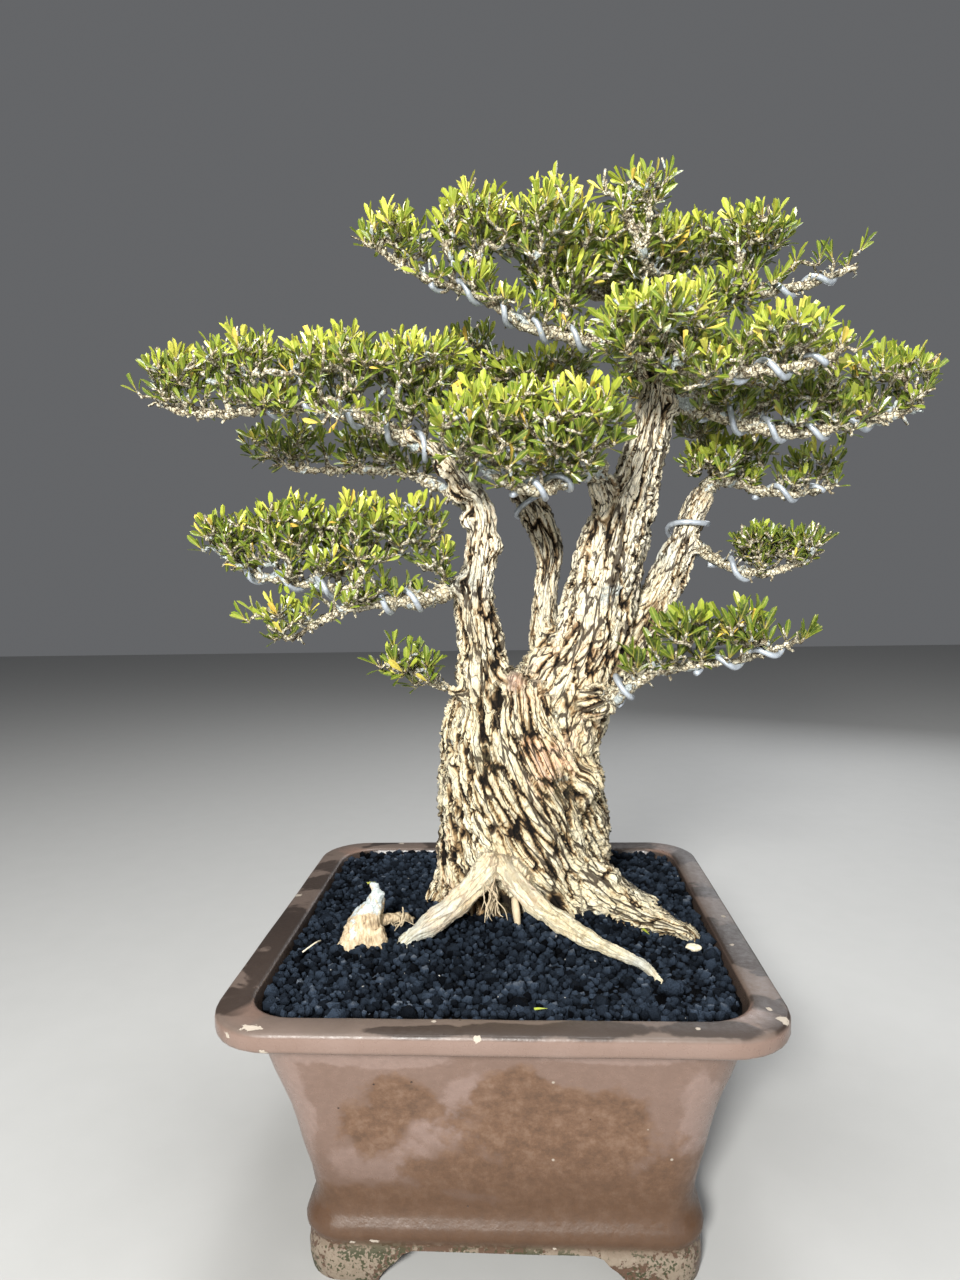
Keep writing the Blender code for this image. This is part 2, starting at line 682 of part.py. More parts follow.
class Wire:
    """A wire wound round one stretch of a branch."""

    def __init__(self, path, stretch):
        self.path = path
        self.lengths = path_lengths(path)
        self.start, self.end = (share * self.lengths[-1] for share in stretch)
        self.line = self.helix()

    def clears(self, foot, knot):
        """Whether a twig from foot to knot, and the knot itself, stay off the wire."""
        for a, b in zip(self.line, self.line[1:]):
            a, b = a.to_3d(), b.to_3d()
            if distance_to_bar(knot, a, b) < (KNOT_RADIUS + WIRE_RADIUS + WOOD_ROOM) * MM:
                return False
            for step in range(TWIG_CHECKS):
                point = foot.lerp(knot, step / TWIG_CHECKS)
                if distance_to_bar(point, a, b) < (TWIG_RADIUS + WIRE_RADIUS + WOOD_ROOM) * MM:
                    return False
        return True

    def helix(self):
        count = int((self.end - self.start) / (WIRE_PITCH * MM) * WIRE_STEPS)
        points = []
        for step in range(count + 1):
            length = self.start + step * WIRE_PITCH * MM / WIRE_STEPS
            point, way = at_length(self.path, self.lengths, length)
            down = Vector((0.0, 0.0, -1.0))
            down = (down - way * down.dot(way)).normalized()
            side = way.cross(down)
            angle = 2 * math.pi * step / WIRE_STEPS
            reach = (point.w + (WIRE_RADIUS + GAP) * MM) / math.cos(math.pi / WIRE_STEPS)
            place = point.to_3d() + (down * math.cos(angle) + side * math.sin(angle)) * reach
            points.append(Vector((*place, WIRE_RADIUS * MM)))
        return points


def tuft_places(pad, rng):
    """The middles of one bunch's tufts, spread evenly over its width and depth and highest in its middle."""
    middle = Vector(pad[:3])
    a, b, c = pad[3:]
    spread = Vector(max(size - TUFT_REACH, 0.0) for size in (a, b, c))
    count = max(1, round(TUFTS_FOR_AREA * (a * b + b * c + a * c)))
    golden = math.pi * (3 - math.sqrt(5))
    start = rng.uniform(0.0, 2 * math.pi)
    places = []
    for number in range(count):
        out = math.sqrt((number + 0.5) / count) if count > 1 else 0.0
        angle = start + golden * number
        rise = spread.z * (1.0 - BUNCH_DOME * out * out)
        offset = Vector((spread.x * out * math.cos(angle), spread.y * out * math.sin(angle), rise)) * BUNCH_SPREAD
        offset.z -= BUNCH_DROP + BUNCH_STAGGER * (number % 2)
        places.append((middle + offset) * MM)
    return places


def plan_twig(knot, path, lengths, wire):
    """The twig that carries one tuft: it leans along the branch and rises where a wire leaves it room."""
    nearest = nearest_length(path, lengths, knot)
    height = (at_length(path, lengths, nearest)[0].to_3d() - knot).length
    wanted = max(nearest - TWIG_LEAN * height, TWIG_NEAREST * MM)
    for number in range(TWIG_TRIES):
        shift = TWIG_SHIFT * MM * ((number + 1) // 2) * (1 if number % 2 else -1)
        foot = at_length(path, lengths, wanted + shift)[0].to_3d()
        if wire is None or wire.clears(foot, knot):
            return [Vector((*point, TWIG_RADIUS * MM)) for point in (foot, knot)]
    return None


def leaf_aim(facet_way, rng):
    jitter = Vector(rng.uniform(-LEAF_JITTER, LEAF_JITTER) for _ in range(3))
    return (facet_way + Vector((0.0, 0.0, LEAF_LIFT)) + jitter).normalized()


def grow_leaf(bm, facet, root, way, length):
    """Draws one facet of a knot out into a blade: a narrow root, a broad middle with a rib, and a tip."""
    blade = bmesh.ops.extrude_discrete_faces(bm, faces=[facet])["faces"][0]
    left, right, rib = blade.verts
    side = right.co - left.co
    side = (side - way * side.dot(way)).normalized()
    middle = root + way * length * LEAF_WIDEST
    left.co = middle - side * LEAF_WIDTH * 0.5 * MM
    right.co = middle + side * LEAF_WIDTH * 0.5 * MM
    rib.co = middle + way.cross(side) * LEAF_THICKNESS * MM
    tip = bmesh.ops.poke(bm, faces=[blade])["verts"][0]
    tip.co = root + way * length


def tuft_mesh(middle, twig_way, rng, clearance, owner, collection):
    """A small woody knot with leaves growing from the facets that face up and outwards."""
    bm = bmesh.new()
    bmesh.ops.create_icosphere(bm, subdivisions=1, radius=KNOT_RADIUS * MM)
    turn, tip_over = rng.uniform(0.0, 2 * math.pi), rng.uniform(0.0, 1.0)
    spin = Matrix.Rotation(turn, 3, "Z") @ Matrix.Rotation(tip_over, 3, "X")
    bmesh.ops.rotate(bm, matrix=spin, verts=bm.verts)
    bmesh.ops.translate(bm, vec=middle, verts=bm.verts)
    for facet in list(bm.faces):
        root = facet.calc_center_median()
        facet_way = (root - middle).normalized()
        if facet_way.z < LEAF_LOWEST or facet_way.dot(twig_way) > TWIG_SHADOW:
            continue
        length = LEAF_LENGTH * MM * rng.uniform(LEAF_SHORTEST, 1.0)
        for _ in range(LEAF_TRIES):
            way = leaf_aim(facet_way, rng)
            tip = root + way * length
            if clearance.is_clear(root, tip, owner):
                clearance.add_leaf(root, tip, owner)
                grow_leaf(bm, facet, root, way, length)
                break
    return mesh_object("tuft", bm, collection)


def make_spray(name, plan, clearance, collection):
    """One leafy branch as a single body: branch, forks, twigs and tufts."""
    rng = random.Random(f"{SEED} {name}")
    branch = curve_tube(f"spray_{name}", plan["branch"], 1, collection)
    pieces = [curve_tube("fork", fork, 0, collection) for fork in plan["forks"]]
    pieces += [curve_tube("twig", twig, 0, collection) for twig in plan["twigs"]]
    for foot, knot in ((twig[0].to_3d(), twig[1].to_3d()) for twig in plan["twigs"]):
        twig_way = (foot - knot).normalized()
        pieces.append(tuft_mesh(knot, twig_way, rng, clearance, name, collection))
    boolean(branch, "UNION", pieces)
    keep_main_body(branch)
    return branch


def plan_spray(name, spray, clearance):
    """Works out the branch, the forks, the wire and the twigs of one spray, and reserves their room."""
    branch = branch_path(spray)
    forks = [in_metres(points) for points in spray.get("forks", ())]
    wire = Wire(branch, spray["wired"]) if "wired" in spray else None
    rng = random.Random(f"{SEED} places {name}")
    tracks = [(branch, wire)] + [(fork, None) for fork in forks]
    twigs = []
    for pad in spray["pads"]:
        track, track_wire = min(tracks, key=lambda each: track_distance(each[0], pad))
        for place in tuft_places(pad, rng):
            twigs.append(plan_twig(place, track, path_lengths(track), track_wire))
    twigs = [twig for twig in twigs if twig]
    for line in [branch, *forks, *twigs]:
        clearance.add_path(line, WOOD_ROOM, name)
    if wire:
        clearance.add_path(wire.line, WOOD_ROOM, f"wire {name}")
    return {"branch": branch, "forks": forks, "wire": wire, "twigs": twigs}


def make_sprays_and_wires(collection):
    """Plans every spray first, so that each leaf can be kept clear of all the wood and wire."""
    clearance = Clearance()
    for points in LIMBS.values():
        clearance.add_path(in_metres(points), BARK_RIDGE, "wood")
    plans = {name: plan_spray(name, spray, clearance) for name, spray in SPRAYS.items()}
    sprays = [make_spray(name, plan, clearance, collection) for name, plan in plans.items()]
    wires = [
        curve_tube(f"wire_{name}", plan["wire"].line, 0, collection, keep_curve=True)
        for name, plan in plans.items()
        if plan["wire"]
    ]
    return sprays, wires


def track_distance(track, pad):
    lengths = path_lengths(track)
    middle = Vector(pad[:3]) * MM
    point, _ = at_length(track, lengths, nearest_length(track, lengths, middle))
    return (point.to_3d() - middle).length


# Assembly


def finish(obj, material, parent):
    obj.data.materials.clear()
    obj.data.materials.append(material)
    obj.parent = parent


def main():
    clear_scene()
    scene = bpy.context.scene
    collection = bpy.data.collections.new("boxwood bonsai")
    cutters = bpy.data.collections.new("cutters")
    scene.collection.children.link(collection)
    scene.collection.children.link(cutters)
    materials = make_materials()
    bonsai = bpy.data.objects.new("bonsai", None)
    collection.objects.link(bonsai)

    finish(make_pot(collection, cutters), materials["stoneware"], bonsai)
    for mesh in make_drain_meshes(collection):
        finish(mesh, materials["drain plastic"], bonsai)
    finish(make_soil(collection, cutters, make_wood_cutter(cutters)), materials["lava soil"], bonsai)
    finish(make_wood(collection), materials["bark"], bonsai)
    finish(make_stump(collection), materials["weathered wood"], bonsai)
    sprays, wires = make_sprays_and_wires(collection)
    for spray in sprays:
        finish(spray, materials["foliage"], bonsai)
    for wire in wires:
        finish(wire, materials["aluminium"], bonsai)
    bonsai.location = Vector(POT_MIDDLE) * MM


main()
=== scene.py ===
"""The looks of a boxwood bonsai in its square pot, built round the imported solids.

The tables are in millimetres from the middle of the pot, at the height of its feet, as in the part's source.
Every mesh is made in that frame and moved into the shared frame as its last step.
"""

import json
import logging
import math
from dataclasses import dataclass, field
from enum import Enum
from typing import Iterable, Sequence

import bmesh
import bpy
import numpy as np
from mathutils import Matrix, Vector, noise

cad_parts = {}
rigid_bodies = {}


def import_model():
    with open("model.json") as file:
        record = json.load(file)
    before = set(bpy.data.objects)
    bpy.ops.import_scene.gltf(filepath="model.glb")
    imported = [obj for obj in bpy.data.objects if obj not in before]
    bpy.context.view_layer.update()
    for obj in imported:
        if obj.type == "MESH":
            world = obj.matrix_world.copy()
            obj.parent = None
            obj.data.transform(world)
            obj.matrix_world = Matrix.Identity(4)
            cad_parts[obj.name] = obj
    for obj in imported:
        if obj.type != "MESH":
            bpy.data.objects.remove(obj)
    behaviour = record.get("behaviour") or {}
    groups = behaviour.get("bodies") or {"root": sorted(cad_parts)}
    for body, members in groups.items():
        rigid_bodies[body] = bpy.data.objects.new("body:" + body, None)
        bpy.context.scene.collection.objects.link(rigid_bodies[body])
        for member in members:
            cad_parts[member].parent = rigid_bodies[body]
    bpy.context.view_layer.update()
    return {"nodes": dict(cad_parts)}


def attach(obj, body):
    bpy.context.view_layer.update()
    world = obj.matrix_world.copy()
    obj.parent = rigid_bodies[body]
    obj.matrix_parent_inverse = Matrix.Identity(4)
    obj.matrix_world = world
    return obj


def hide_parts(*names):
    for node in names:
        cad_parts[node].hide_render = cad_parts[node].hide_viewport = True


LOG = logging.getLogger("bonsai")
MM = 0.001
SEED = 11
POT_MIDDLE = np.array((-27.5, 0.0, 0.0))
Array = np.ndarray
Colour = tuple[float, float, float]
Rows = Sequence[Sequence[float]]
BMesh = bmesh.types.BMesh
Material = bpy.types.Material
Mesh = bpy.types.Mesh
Object = bpy.types.Object
Node = bpy.types.Node
Tree = bpy.types.NodeTree
Rng = np.random.Generator
UP = np.array((0.0, 0.0, 1.0))

# Training wire
WIRE_RADIUS = 1.85
WIRE_ROOM = 0.2
WIRE_PITCH = 25.0
TURN_POINTS = 16
WIRE_SIDES = 12

# Drain holes: where they are, across the pot
DRAIN_PLACES = {"left": -45.0, "right": 45.0}

# Pot: half side, height and corner radius of each level
POT_OUTSIDE = (
    (110.0, 0.0, 20), (111.0, 6.0, 21), (111.2, 12.0, 21), (110.6, 17.0, 21), (109.4, 20.0, 21),
    (110.2, 22.5, 21.5), (112.2, 26.0, 22), (112.4, 29.0, 22), (111.0, 33.0, 22), (109.0, 36.0, 22),
    (107.8, 40.0, 22), (108.0, 45.0, 22), (109.8, 57.0, 22.5), (113.0, 72.0, 23), (115.8, 86.0, 24.5),
    (119.0, 100.0, 26), (122.6, 112.0, 27.5), (126.5, 124.0, 29), (129.6, 135.0, 30.5),
    (132.0, 143.0, 31.5), (134.6, 148.4, 32), (137.5, 150.4, 32.4), (144.0, 151.6, 33),
    (147.6, 152.6, 33.4), (149.6, 154.2, 34), (150.0, 155.8, 34), (150.0, 161.4, 34), (149.4, 163.2, 33.6),
    (148.2, 164.0, 33),
)
POT_INSIDE = (
    (134.6, 164.0, 27.5), (133.0, 163.5, 26.8), (132.2, 162.2, 26.2), (129.6, 155.0, 25.5),
    (127.0, 145.0, 25), (117.0, 122.0, 23), (109.5, 100.0, 21), (103.0, 70.0, 19), (98.5, 45.0, 17),
    (97.0, 31.0, 15),
)
FOOT_ARCH = ((69.0, -1.0), (68.4, 2.0), (66.0, 6.0), (62.6, 9.6), (58.0, 13.0), (55.0, 16.4), (50.0, 18.0))

# Soil
SOIL_EDGE_HEIGHT = 158.5
SOIL_MOUND = 7.0
SOIL_MOUND_SPREAD = 75.0
SOIL_MIDDLE = (15.0, 30.0)
SOIL_EXTRA = 5.0
SOIL_ARCH = (10.0, -30.0)
SOIL_ARCH_SPREAD = 20.0

# Trunk: height, middle x and y, half width and half depth of each level
TRUNK_LEVELS = (
    (132, 15, 34, 54, 46), (152, 15, 33, 65, 55), (166, 15, 32, 65, 54), (180, 13, 31, 62, 50),
    (206, 12, 30, 60.5, 48), (234, 12, 29, 59, 47), (262, 12, 28, 56, 45), (290, 13, 28, 53, 42),
    (310, 17, 28, 46, 36), (320, 20, 29, 33, 27), (326, 22, 30, 14, 12),
)

# Limbs and surface roots: x, y, z and radius along each
LIMBS = {
    "left": ((-4, 20, 268, 22), (-9, 16, 305, 21), (-12, 10, 339, 17), (-15, 5, 373, 14.4),
             (-12, 5, 403, 10.8), (-11, 5, 429, 10), (-21, 3, 448, 8.8), (-34, 0, 463, 7.8)),
    "rear": ((20, 42, 290, 16), (31, 46, 329, 13.5), (30, 50, 351, 10.5), (32, 55, 378, 9.8),
             (35, 60, 405, 11), (27, 65, 430, 12.4), (20, 68, 446, 11.6)),
    "main": ((28, 28, 268, 38), (42, 30, 309, 36), (61, 30, 344, 29), (70, 28, 378, 25.8),
             (76, 25, 403, 24.6), (83, 22, 428, 22), (92, 20, 453, 17), (99, 18, 477, 14),
             (104, 18, 498, 12.6), (108, 16, 520, 9.6), (111, 15, 545, 7.6), (108, 15, 564, 6.2)),
    "spur": ((78, 24, 410, 15), (71, 14, 436, 11.5), (66, 6, 450, 9.2)),
    "right": ((76, 34, 322, 18), (96, 35, 350, 17), (115, 38, 384, 13.2), (134, 42, 429, 10),
              (142, 45, 443, 8.6)),
    "nub": ((38, 20, 298, 17), (58, 4, 305, 13), (71, -7, 310, 10.5)),
}
ROOTS = (
    ((-2, -4, 210, 11), (-12, -18, 196, 9.0), (-30, -27, 180, 8.0), (-46, -34, 170, 7.4),
     (-58, -39, 163, 6.0), (-65, -42, 153, 4)),
    ((-2, -8, 206, 10), (8, -21, 194, 8.0), (26, -32, 179, 7.4), (46, -46, 171, 6.6), (66, -65, 168, 4.4),
     (82, -78, 166, 3.2), (91, -87, 159, 2)),
    ((48, 12, 192, 21), (72, -2, 175, 16), (92, -17, 169, 10.5), (107, -27, 167, 7.5), (117, -34, 165, 5),
     (124, -39, 157, 3)),
    ((56, 18, 182, 16), (86, 3, 168, 10), (105, -12, 162, 7), (118, -18, 154, 4)),
    ((58, 28, 182, 15), (88, 26, 166, 8), (104, 24, 160, 5.5), (113, 22, 153, 3.5)),
    ((-38, 24, 180, 12), (-50, 22, 160, 8), (-58, 20, 148, 5)),
    ((-10, 64, 188, 17), (-26, 84, 169, 11), (-42, 98, 161, 7), (-54, 108, 151, 4)),
    ((36, 66, 188, 18), (52, 88, 169, 12), (66, 102, 161, 7), (76, 110, 151, 4)),
)
LOW_RIGHT_ROOT = ((68, -5, 311, 7.8), (77, -10, 315, 6.8), (88, -13, 320, 5.8))
STUMP = (
    ((-88, -32, 138, 13), (-88, -32, 160, 13.5), (-86, -31, 172, 10), (-81, -28, 181, 6.5),
     (-79, -27, 189, 3.6)),
    ((-84, -29, 168, 4.5), (-72, -21, 169, 3.2), (-62, -10, 164, 2.6), (-58, -2, 153, 2)),
)
# Round swellings of the wood: x, y, z and half sizes
KNOTS = ((10, 1, 315, 14, 13, 12), (90, 12, 334, 6, 6, 7), (-26, 10, 352, 4, 5, 7), (59, 0, 252, 11, 10, 15),
         (56, 6, 278, 7, 8, 9), (-3, 0, 408, 6, 6, 9), (-20, -2, 424, 6, 6, 7), (-14, -3, 440, 7, 6, 6),
         (-28, -3, 452, 6, 6, 6), (-22, 8, 388, 5, 6, 8), (30, 58, 428, 6, 6, 7), (13, 60, 446, 7, 6, 7),
         (66, 8, 424, 6, 6, 8), (100, 8, 470, 5, 6, 9), (112, 10, 528, 5, 5, 7), (-33, 2, 262, 6, 5, 9),
         (-24, -6, 442, 8, 7, 8), (-33, -8, 458, 8, 7, 8), (-42, -9, 470, 8, 6, 7), (-54, -12, 477, 7, 6, 6),
         (-24, -4, 383, 7, 6, 7), (-36, -10, 378, 7, 6, 6))

# Leafy branches: lines from a limb's middle outwards, and the middle and half size of each bunch
# Each branch's own shift paints its leaves lighter or darker, as painted light and shade.
SPRAYS = {
    "long_left": dict(
        tone=0.08, leaf=12.2, openness=0.22, under_share=0.8, wired=(0.06, 0.62), radius=7.0,
        start=((-21, 3, 448), (-34, 0, 463)),
        path=((-57, -9, 476, 6), (-78, -15, 486, 5.4), (-102, -20, 493, 4.8), (-133, -23, 494, 4),
              (-160, -25, 492, 3.4), (-189, -25, 492, 2.8), (-210, -25, 500, 2)),
        pads=((-196, -25, 514, 29, 28, 23), (-150, -26, 520, 32, 36, 27), (-98, -22, 517, 35, 40, 28),
              (-46, -19, 513, 34, 42, 31), (-34, -12, 506, 26, 24, 26), (-46, -12, 486, 20, 16, 13),
              (-88, -44, 488, 26, 14, 12), (-132, -38, 496, 24, 14, 14)),
    ),
    "left_rear": dict(
        tone=-0.15, radius=5.2, start=((-14, 5, 432), (-27, 15, 441)),
        path=((-45, 26, 452, 4.6), (-67, 34, 461, 4), (-103, 42, 464, 3.4), (-140, 46, 466, 2.8),
              (-160, 46, 476, 2)),
        pads=((-148, 46, 484, 36, 24, 20), (-88, 50, 484, 30, 26, 19)),
    ),
    "low_left": dict(
        leaf=12.2, openness=0.22, under_share=0.8, wired=(0.5, 0.9), radius=7.2,
        start=((-13, 6, 387), (-31, -4, 380)),
        path=((-46, -13, 375, 6.4), (-71, -22, 373, 5.2), (-95, -25, 380, 4.2), (-123, -26, 386, 3.4),
              (-149, -26, 391, 2.8), (-172, -25, 404, 2)),
        forks=(((-71, -22, 373, 3.8), (-93, -35, 369, 3), (-110, -40, 361, 2.6), (-124, -42, 352, 2)),),
        pads=((-167, -25, 415, 27, 26, 21), (-126, -26, 421, 30, 34, 25), (-84, -21, 416, 30, 36, 28),
              (-52, -20, 420, 24, 30, 24), (-132, -43, 364, 27, 18, 19), (-38, -18, 402, 20, 18, 18),
              (-88, -44, 398, 30, 14, 16), (-132, -38, 405, 26, 14, 14)),
    ),
    "low_shoot": dict(
        tone=-0.12, leaf=14.5, radius=3.0, start=((-22, 8, 308), (-39, -1, 317)),
        path=((-51, -9, 324, 2.6), (-66, -14, 333, 2)),
        pads=((-56, -11, 331, 22, 14, 16),),
    ),
    "centre": dict(
        wired=(0.5, 0.92), radius=8.0, start=((71, 14, 436), (66, 6, 450)),
        path=((60, -8, 459, 6.6), (50, -27, 461, 5.4), (30, -46, 458, 4.2), (2, -60, 456, 3.4),
              (-18, -64, 458, 2.4)),
        forks=(((58, -10, 456, 5.6), (43, -30, 445, 5), (24, -43, 438, 4.2), (4, -50, 443, 3.2),
                (-10, -56, 452, 2.2)),),
        pads=((46, -58, 474, 34, 38, 31), (-4, -62, 471, 34, 38, 29), (38, -52, 454, 26, 20, 12),
              (-14, -54, 460, 24, 18, 14), (24, -60, 486, 28, 26, 20)),
    ),
    "rear": dict(
        tone=-0.15, radius=10.0, start=((27, 65, 430), (20, 68, 446)),
        path=((13, 72, 464, 8.4), (11, 75, 488, 6.4), (18, 72, 508, 5), (30, 66, 522, 3.6)),
        forks=(((13, 72, 464, 6), (5, 94, 476, 5), (-2, 118, 482, 3.8), (-16, 132, 486, 2.6)),),
        pads=((44, 68, 535, 32, 34, 20), (0, 66, 533, 28, 34, 20), (-4, 122, 502, 44, 32, 26),
              (16, 52, 528, 26, 24, 18), (-19, 62, 552, 24, 26, 18)),
    ),
    "low_right": dict(
        tone=-0.36, leaf=16.0, spacing=8.2, wired=(0.5, 0.97), radius=7.0,
        start=((58, 4, 305), (71, -7, 310)),
        path=((80, -12, 315, 5.2), (89, -13, 320, 4.6), (100, -12, 327, 4), (126, -15, 330, 3.2),
              (156, -18, 335, 2.6), (179, -20, 343, 1.8)),
        pads=((116, -18, 354, 24, 26, 20), (149, -21, 354, 23, 24, 18), (128, -15, 346, 28, 18, 16)),
    ),
    "right_low": dict(
        tone=-0.55, leaf=9.5, spacing=4.3, tries=0.35, openness=0.0, fringe=(0.4, 0.5), wired=(0.08, 0.6),
        radius=4.6, start=((127, 40, 414), (139, 30, 402)),
        path=((149, 22, 394, 3.9), (162, 15, 388, 3.4), (181, 12, 388, 3), (204, 10, 397, 2)),
        pads=((171, 13, 408, 22, 22, 17), (197, 10, 408, 22, 18, 17)),
    ),
    "right_middle": dict(
        tone=-0.05, wired=(0.45, 0.93), radius=7.2, start=((134, 42, 429), (142, 45, 443)),
        path=((150, 48, 452, 5.6), (166, 52, 450, 4.6), (184, 54, 444, 4), (208, 54, 442, 3.2),
              (232, 54, 446, 2)),
        forks=(((150, 48, 452, 5), (150, 70, 476, 4.6), (142, 95, 502, 4), (132, 114, 520, 3)),),
        pads=((164, 58, 470, 32, 34, 20), (219, 55, 464, 21, 20, 16), (130, 118, 538, 48, 36, 30),
              (142, 30, 460, 24, 22, 20), (132, 34, 492, 24, 22, 20)),
    ),
    "right": dict(
        wired=(0.1, 0.9), radius=7.2, start=((104, 18, 499), (120, 13, 497)),
        path=((133, 10, 493, 6.2), (158, 5, 482, 5.4), (191, 0, 475, 4.6), (232, -5, 480, 3.4),
              (258, -8, 486, 2.2)),
        pads=((192, -3, 502, 31, 38, 23), (243, -6, 504, 31, 32, 24), (214, -10, 488, 28, 22, 18),
              (150, 0, 505, 26, 22, 20), (196, -4, 524, 26, 24, 14)),
    ),
    "upper_right": dict(
        tone=0.12, wired=(0.32, 0.95), radius=7.0, start=((105, 17, 506), (109, 2, 510)),
        path=((113, -14, 510, 6.2), (124, -34, 505, 5.4), (142, -48, 502, 4.6), (166, -53, 502, 3.8),
              (192, -53, 507, 2.4)),
        forks=(((119, -26, 507, 4.4), (100, -46, 508, 3.8), (78, -58, 511, 2.6)),),
        pads=((94, -55, 528, 38, 42, 26), (160, -52, 517, 36, 40, 20), (87, -28, 530, 28, 26, 26),
              (120, -52, 504, 34, 18, 18), (180, -45, 506, 26, 18, 14)),
    ),
    "top_left": dict(
        tone=0.22, wired=(0.08, 0.8), radius=6.4, start=((106, 17, 512), (92, 12, 522)),
        path=((67, 8, 535, 5.6), (42, 5, 541, 4.9), (22, 0, 545, 4.3), (4, -5, 555, 3.8),
              (-10, -8, 563, 3.4), (-33, -10, 570, 2.9), (-56, -12, 580, 2.4), (-70, -12, 590, 1.8)),
        pads=((-60, -12, 600, 27, 26, 20), (-12, -5, 603, 31, 34, 28), (36, 2, 605, 34, 42, 30),
              (44, 6, 574, 26, 24, 26), (70, 8, 596, 24, 24, 24)),
    ),
    "apex": dict(
        tone=0.05, fringe=(0.6, 0.3), radius=5.6, start=((111, 15, 545), (108, 15, 564)),
        path=((104, 15, 584, 4.8), (98, 15, 608, 3.8), (94, 15, 630, 2.6)),
        forks=(((105, 12, 578, 3.4), (93, -4, 582, 3), (85, -14, 598, 2.6), (78, -8, 618, 2)),
               ((92, -5, 583, 2.6), (95, -14, 600, 2.2), (97, -6, 620, 1.7))),
        pads=((93, 15, 631, 22, 23, 19), (101, 14, 594, 31, 35, 22), (98, 14, 586, 28, 24, 24),
              (73, 56, 622, 24, 22, 18)),
    ),
    "top_right": dict(
        fringe=(0.2, 0.3), wired=(0.42, 0.92), radius=4.8, start=((110, 15, 550), (122, 20, 556)),
        path=((136, 26, 562, 4.2), (152, 29, 568, 3.8), (174, 28, 570, 3.3), (198, 25, 572, 2.9),
              (217, 25, 578, 2.3), (234, 25, 583, 1.7)),
        pads=((164, 30, 602, 35, 38, 25), (226, 25, 586, 11, 9, 7), (143, 20, 566, 30, 26, 22),
              (128, 20, 600, 26, 26, 22)),
    ),
    "rear_top": dict(
        tone=-0.08, radius=5.4, start=((109, 16, 526), (107, 28, 536)),
        path=((103, 42, 552, 4.8), (93, 62, 572, 4), (80, 80, 586, 3.2), (64, 90, 594, 2.4)),
        pads=((50, 84, 605, 34, 32, 24), (108, 86, 603, 34, 32, 24)),
    ),
}

# Limbs as straight bars
LIMB_PAIRS = np.array([pair for points in LIMBS.values() for pair in zip(points, points[1:])], float)
LIMB_STARTS = LIMB_PAIRS[:, 0, :3]
LIMB_RUNS = LIMB_PAIRS[:, 1, :3] - LIMB_STARTS
LIMB_RADII = LIMB_PAIRS[:, :, 3].max(axis=1)


class Band(Enum):
    """Where on an object a coat of colour lies."""

    RIM = "rim"
    LIP = "lip"
    WALL = "wall"
    FOOT = "foot"
    INSIDE = "inside"


# Meshes


def dots(a: Array, b: Array) -> Array:
    """The dot product of each pair of rows."""
    return np.einsum("ij,ij->i", a, b)


def limb_gap(place: Array) -> float:
    """How far a place is from the nearest limb's bark.

    Args:
        place: x, y and z.

    Returns:
        The distance, which is negative inside the limb.
    """
    share = np.clip(dots(place - LIMB_STARTS, LIMB_RUNS) / dots(LIMB_RUNS, LIMB_RUNS), 0.0, 1.0)
    away = np.linalg.norm(place - LIMB_STARTS - LIMB_RUNS * share[:, None], axis=1)
    return float((away - LIMB_RADII).min())


def unit(vector: Array) -> Array:
    """The vector made 1 long."""
    return vector / np.linalg.norm(vector)


def noise_at(points: Array, size: float) -> Array:
    """Soft noise from about -1 to 1 at each point, with bumps of this size."""
    return np.array([noise.noise(Vector(point)) for point in points / size])


def smooth_path(points: Rows, step: float) -> Array:
    """A smooth curve through the points.

    Args:
        points: rows of x, y, z and radius.
        step: about how far apart its own points are.

    Returns:
        The curve's points, as rows of the same numbers.
    """
    given = np.array(points, float)
    guide = np.vstack([2 * given[0] - given[1], given, 2 * given[-1] - given[-2]])
    path = []
    for a, b, c, d in zip(guide, guide[1:], guide[2:], guide[3:]):
        count = max(2, int(np.linalg.norm((c - b)[:3]) / step))
        for t in np.arange(count) / count:
            bend = (c - a) * t + (2 * a - 5 * b + 4 * c - d) * t**2 + (3 * b - a - 3 * c + d) * t**3
            path.append(b + bend / 2)
    path.append(given[-1])
    return np.array(path)


def lengths_of(path: Array) -> Array:
    """The length along a path at each of its points."""
    return np.concatenate([[0.0], np.cumsum(np.linalg.norm(np.diff(path[:, :3], axis=0), axis=1))])


def row_at(rows: Array, lengths: Array, length: float) -> Array:
    """The row of numbers at one length along a path, between those of its points."""
    return np.array([np.interp(length, lengths, column) for column in rows.T])


def ways_of(path: Array) -> Array:
    """The way a path runs at each of its points, as unit vectors."""
    way = np.gradient(path[:, :3], axis=0)
    return way / np.linalg.norm(way, axis=1, keepdims=True)


def frames_of(path: Array) -> tuple[Array, Array, Array]:
    """Unit vectors along and across a path, which turn as little as they can.

    Args:
        path: rows that start with x, y and z.

    Returns:
        Three arrays of vectors: along, across and across the other way.
    """
    along = ways_of(path)
    start = np.array((0.0, 1.0, 0.0)) if abs(along[0][1]) < 0.9 else np.array((1.0, 0.0, 0.0))
    across = [np.cross(along[0], start)]
    for way in along[1:]:
        across.append(across[-1] - way * (across[-1] @ way))
    across = np.array(across)
    across /= np.linalg.norm(across, axis=1, keepdims=True)
    return along, across, np.cross(along, across)


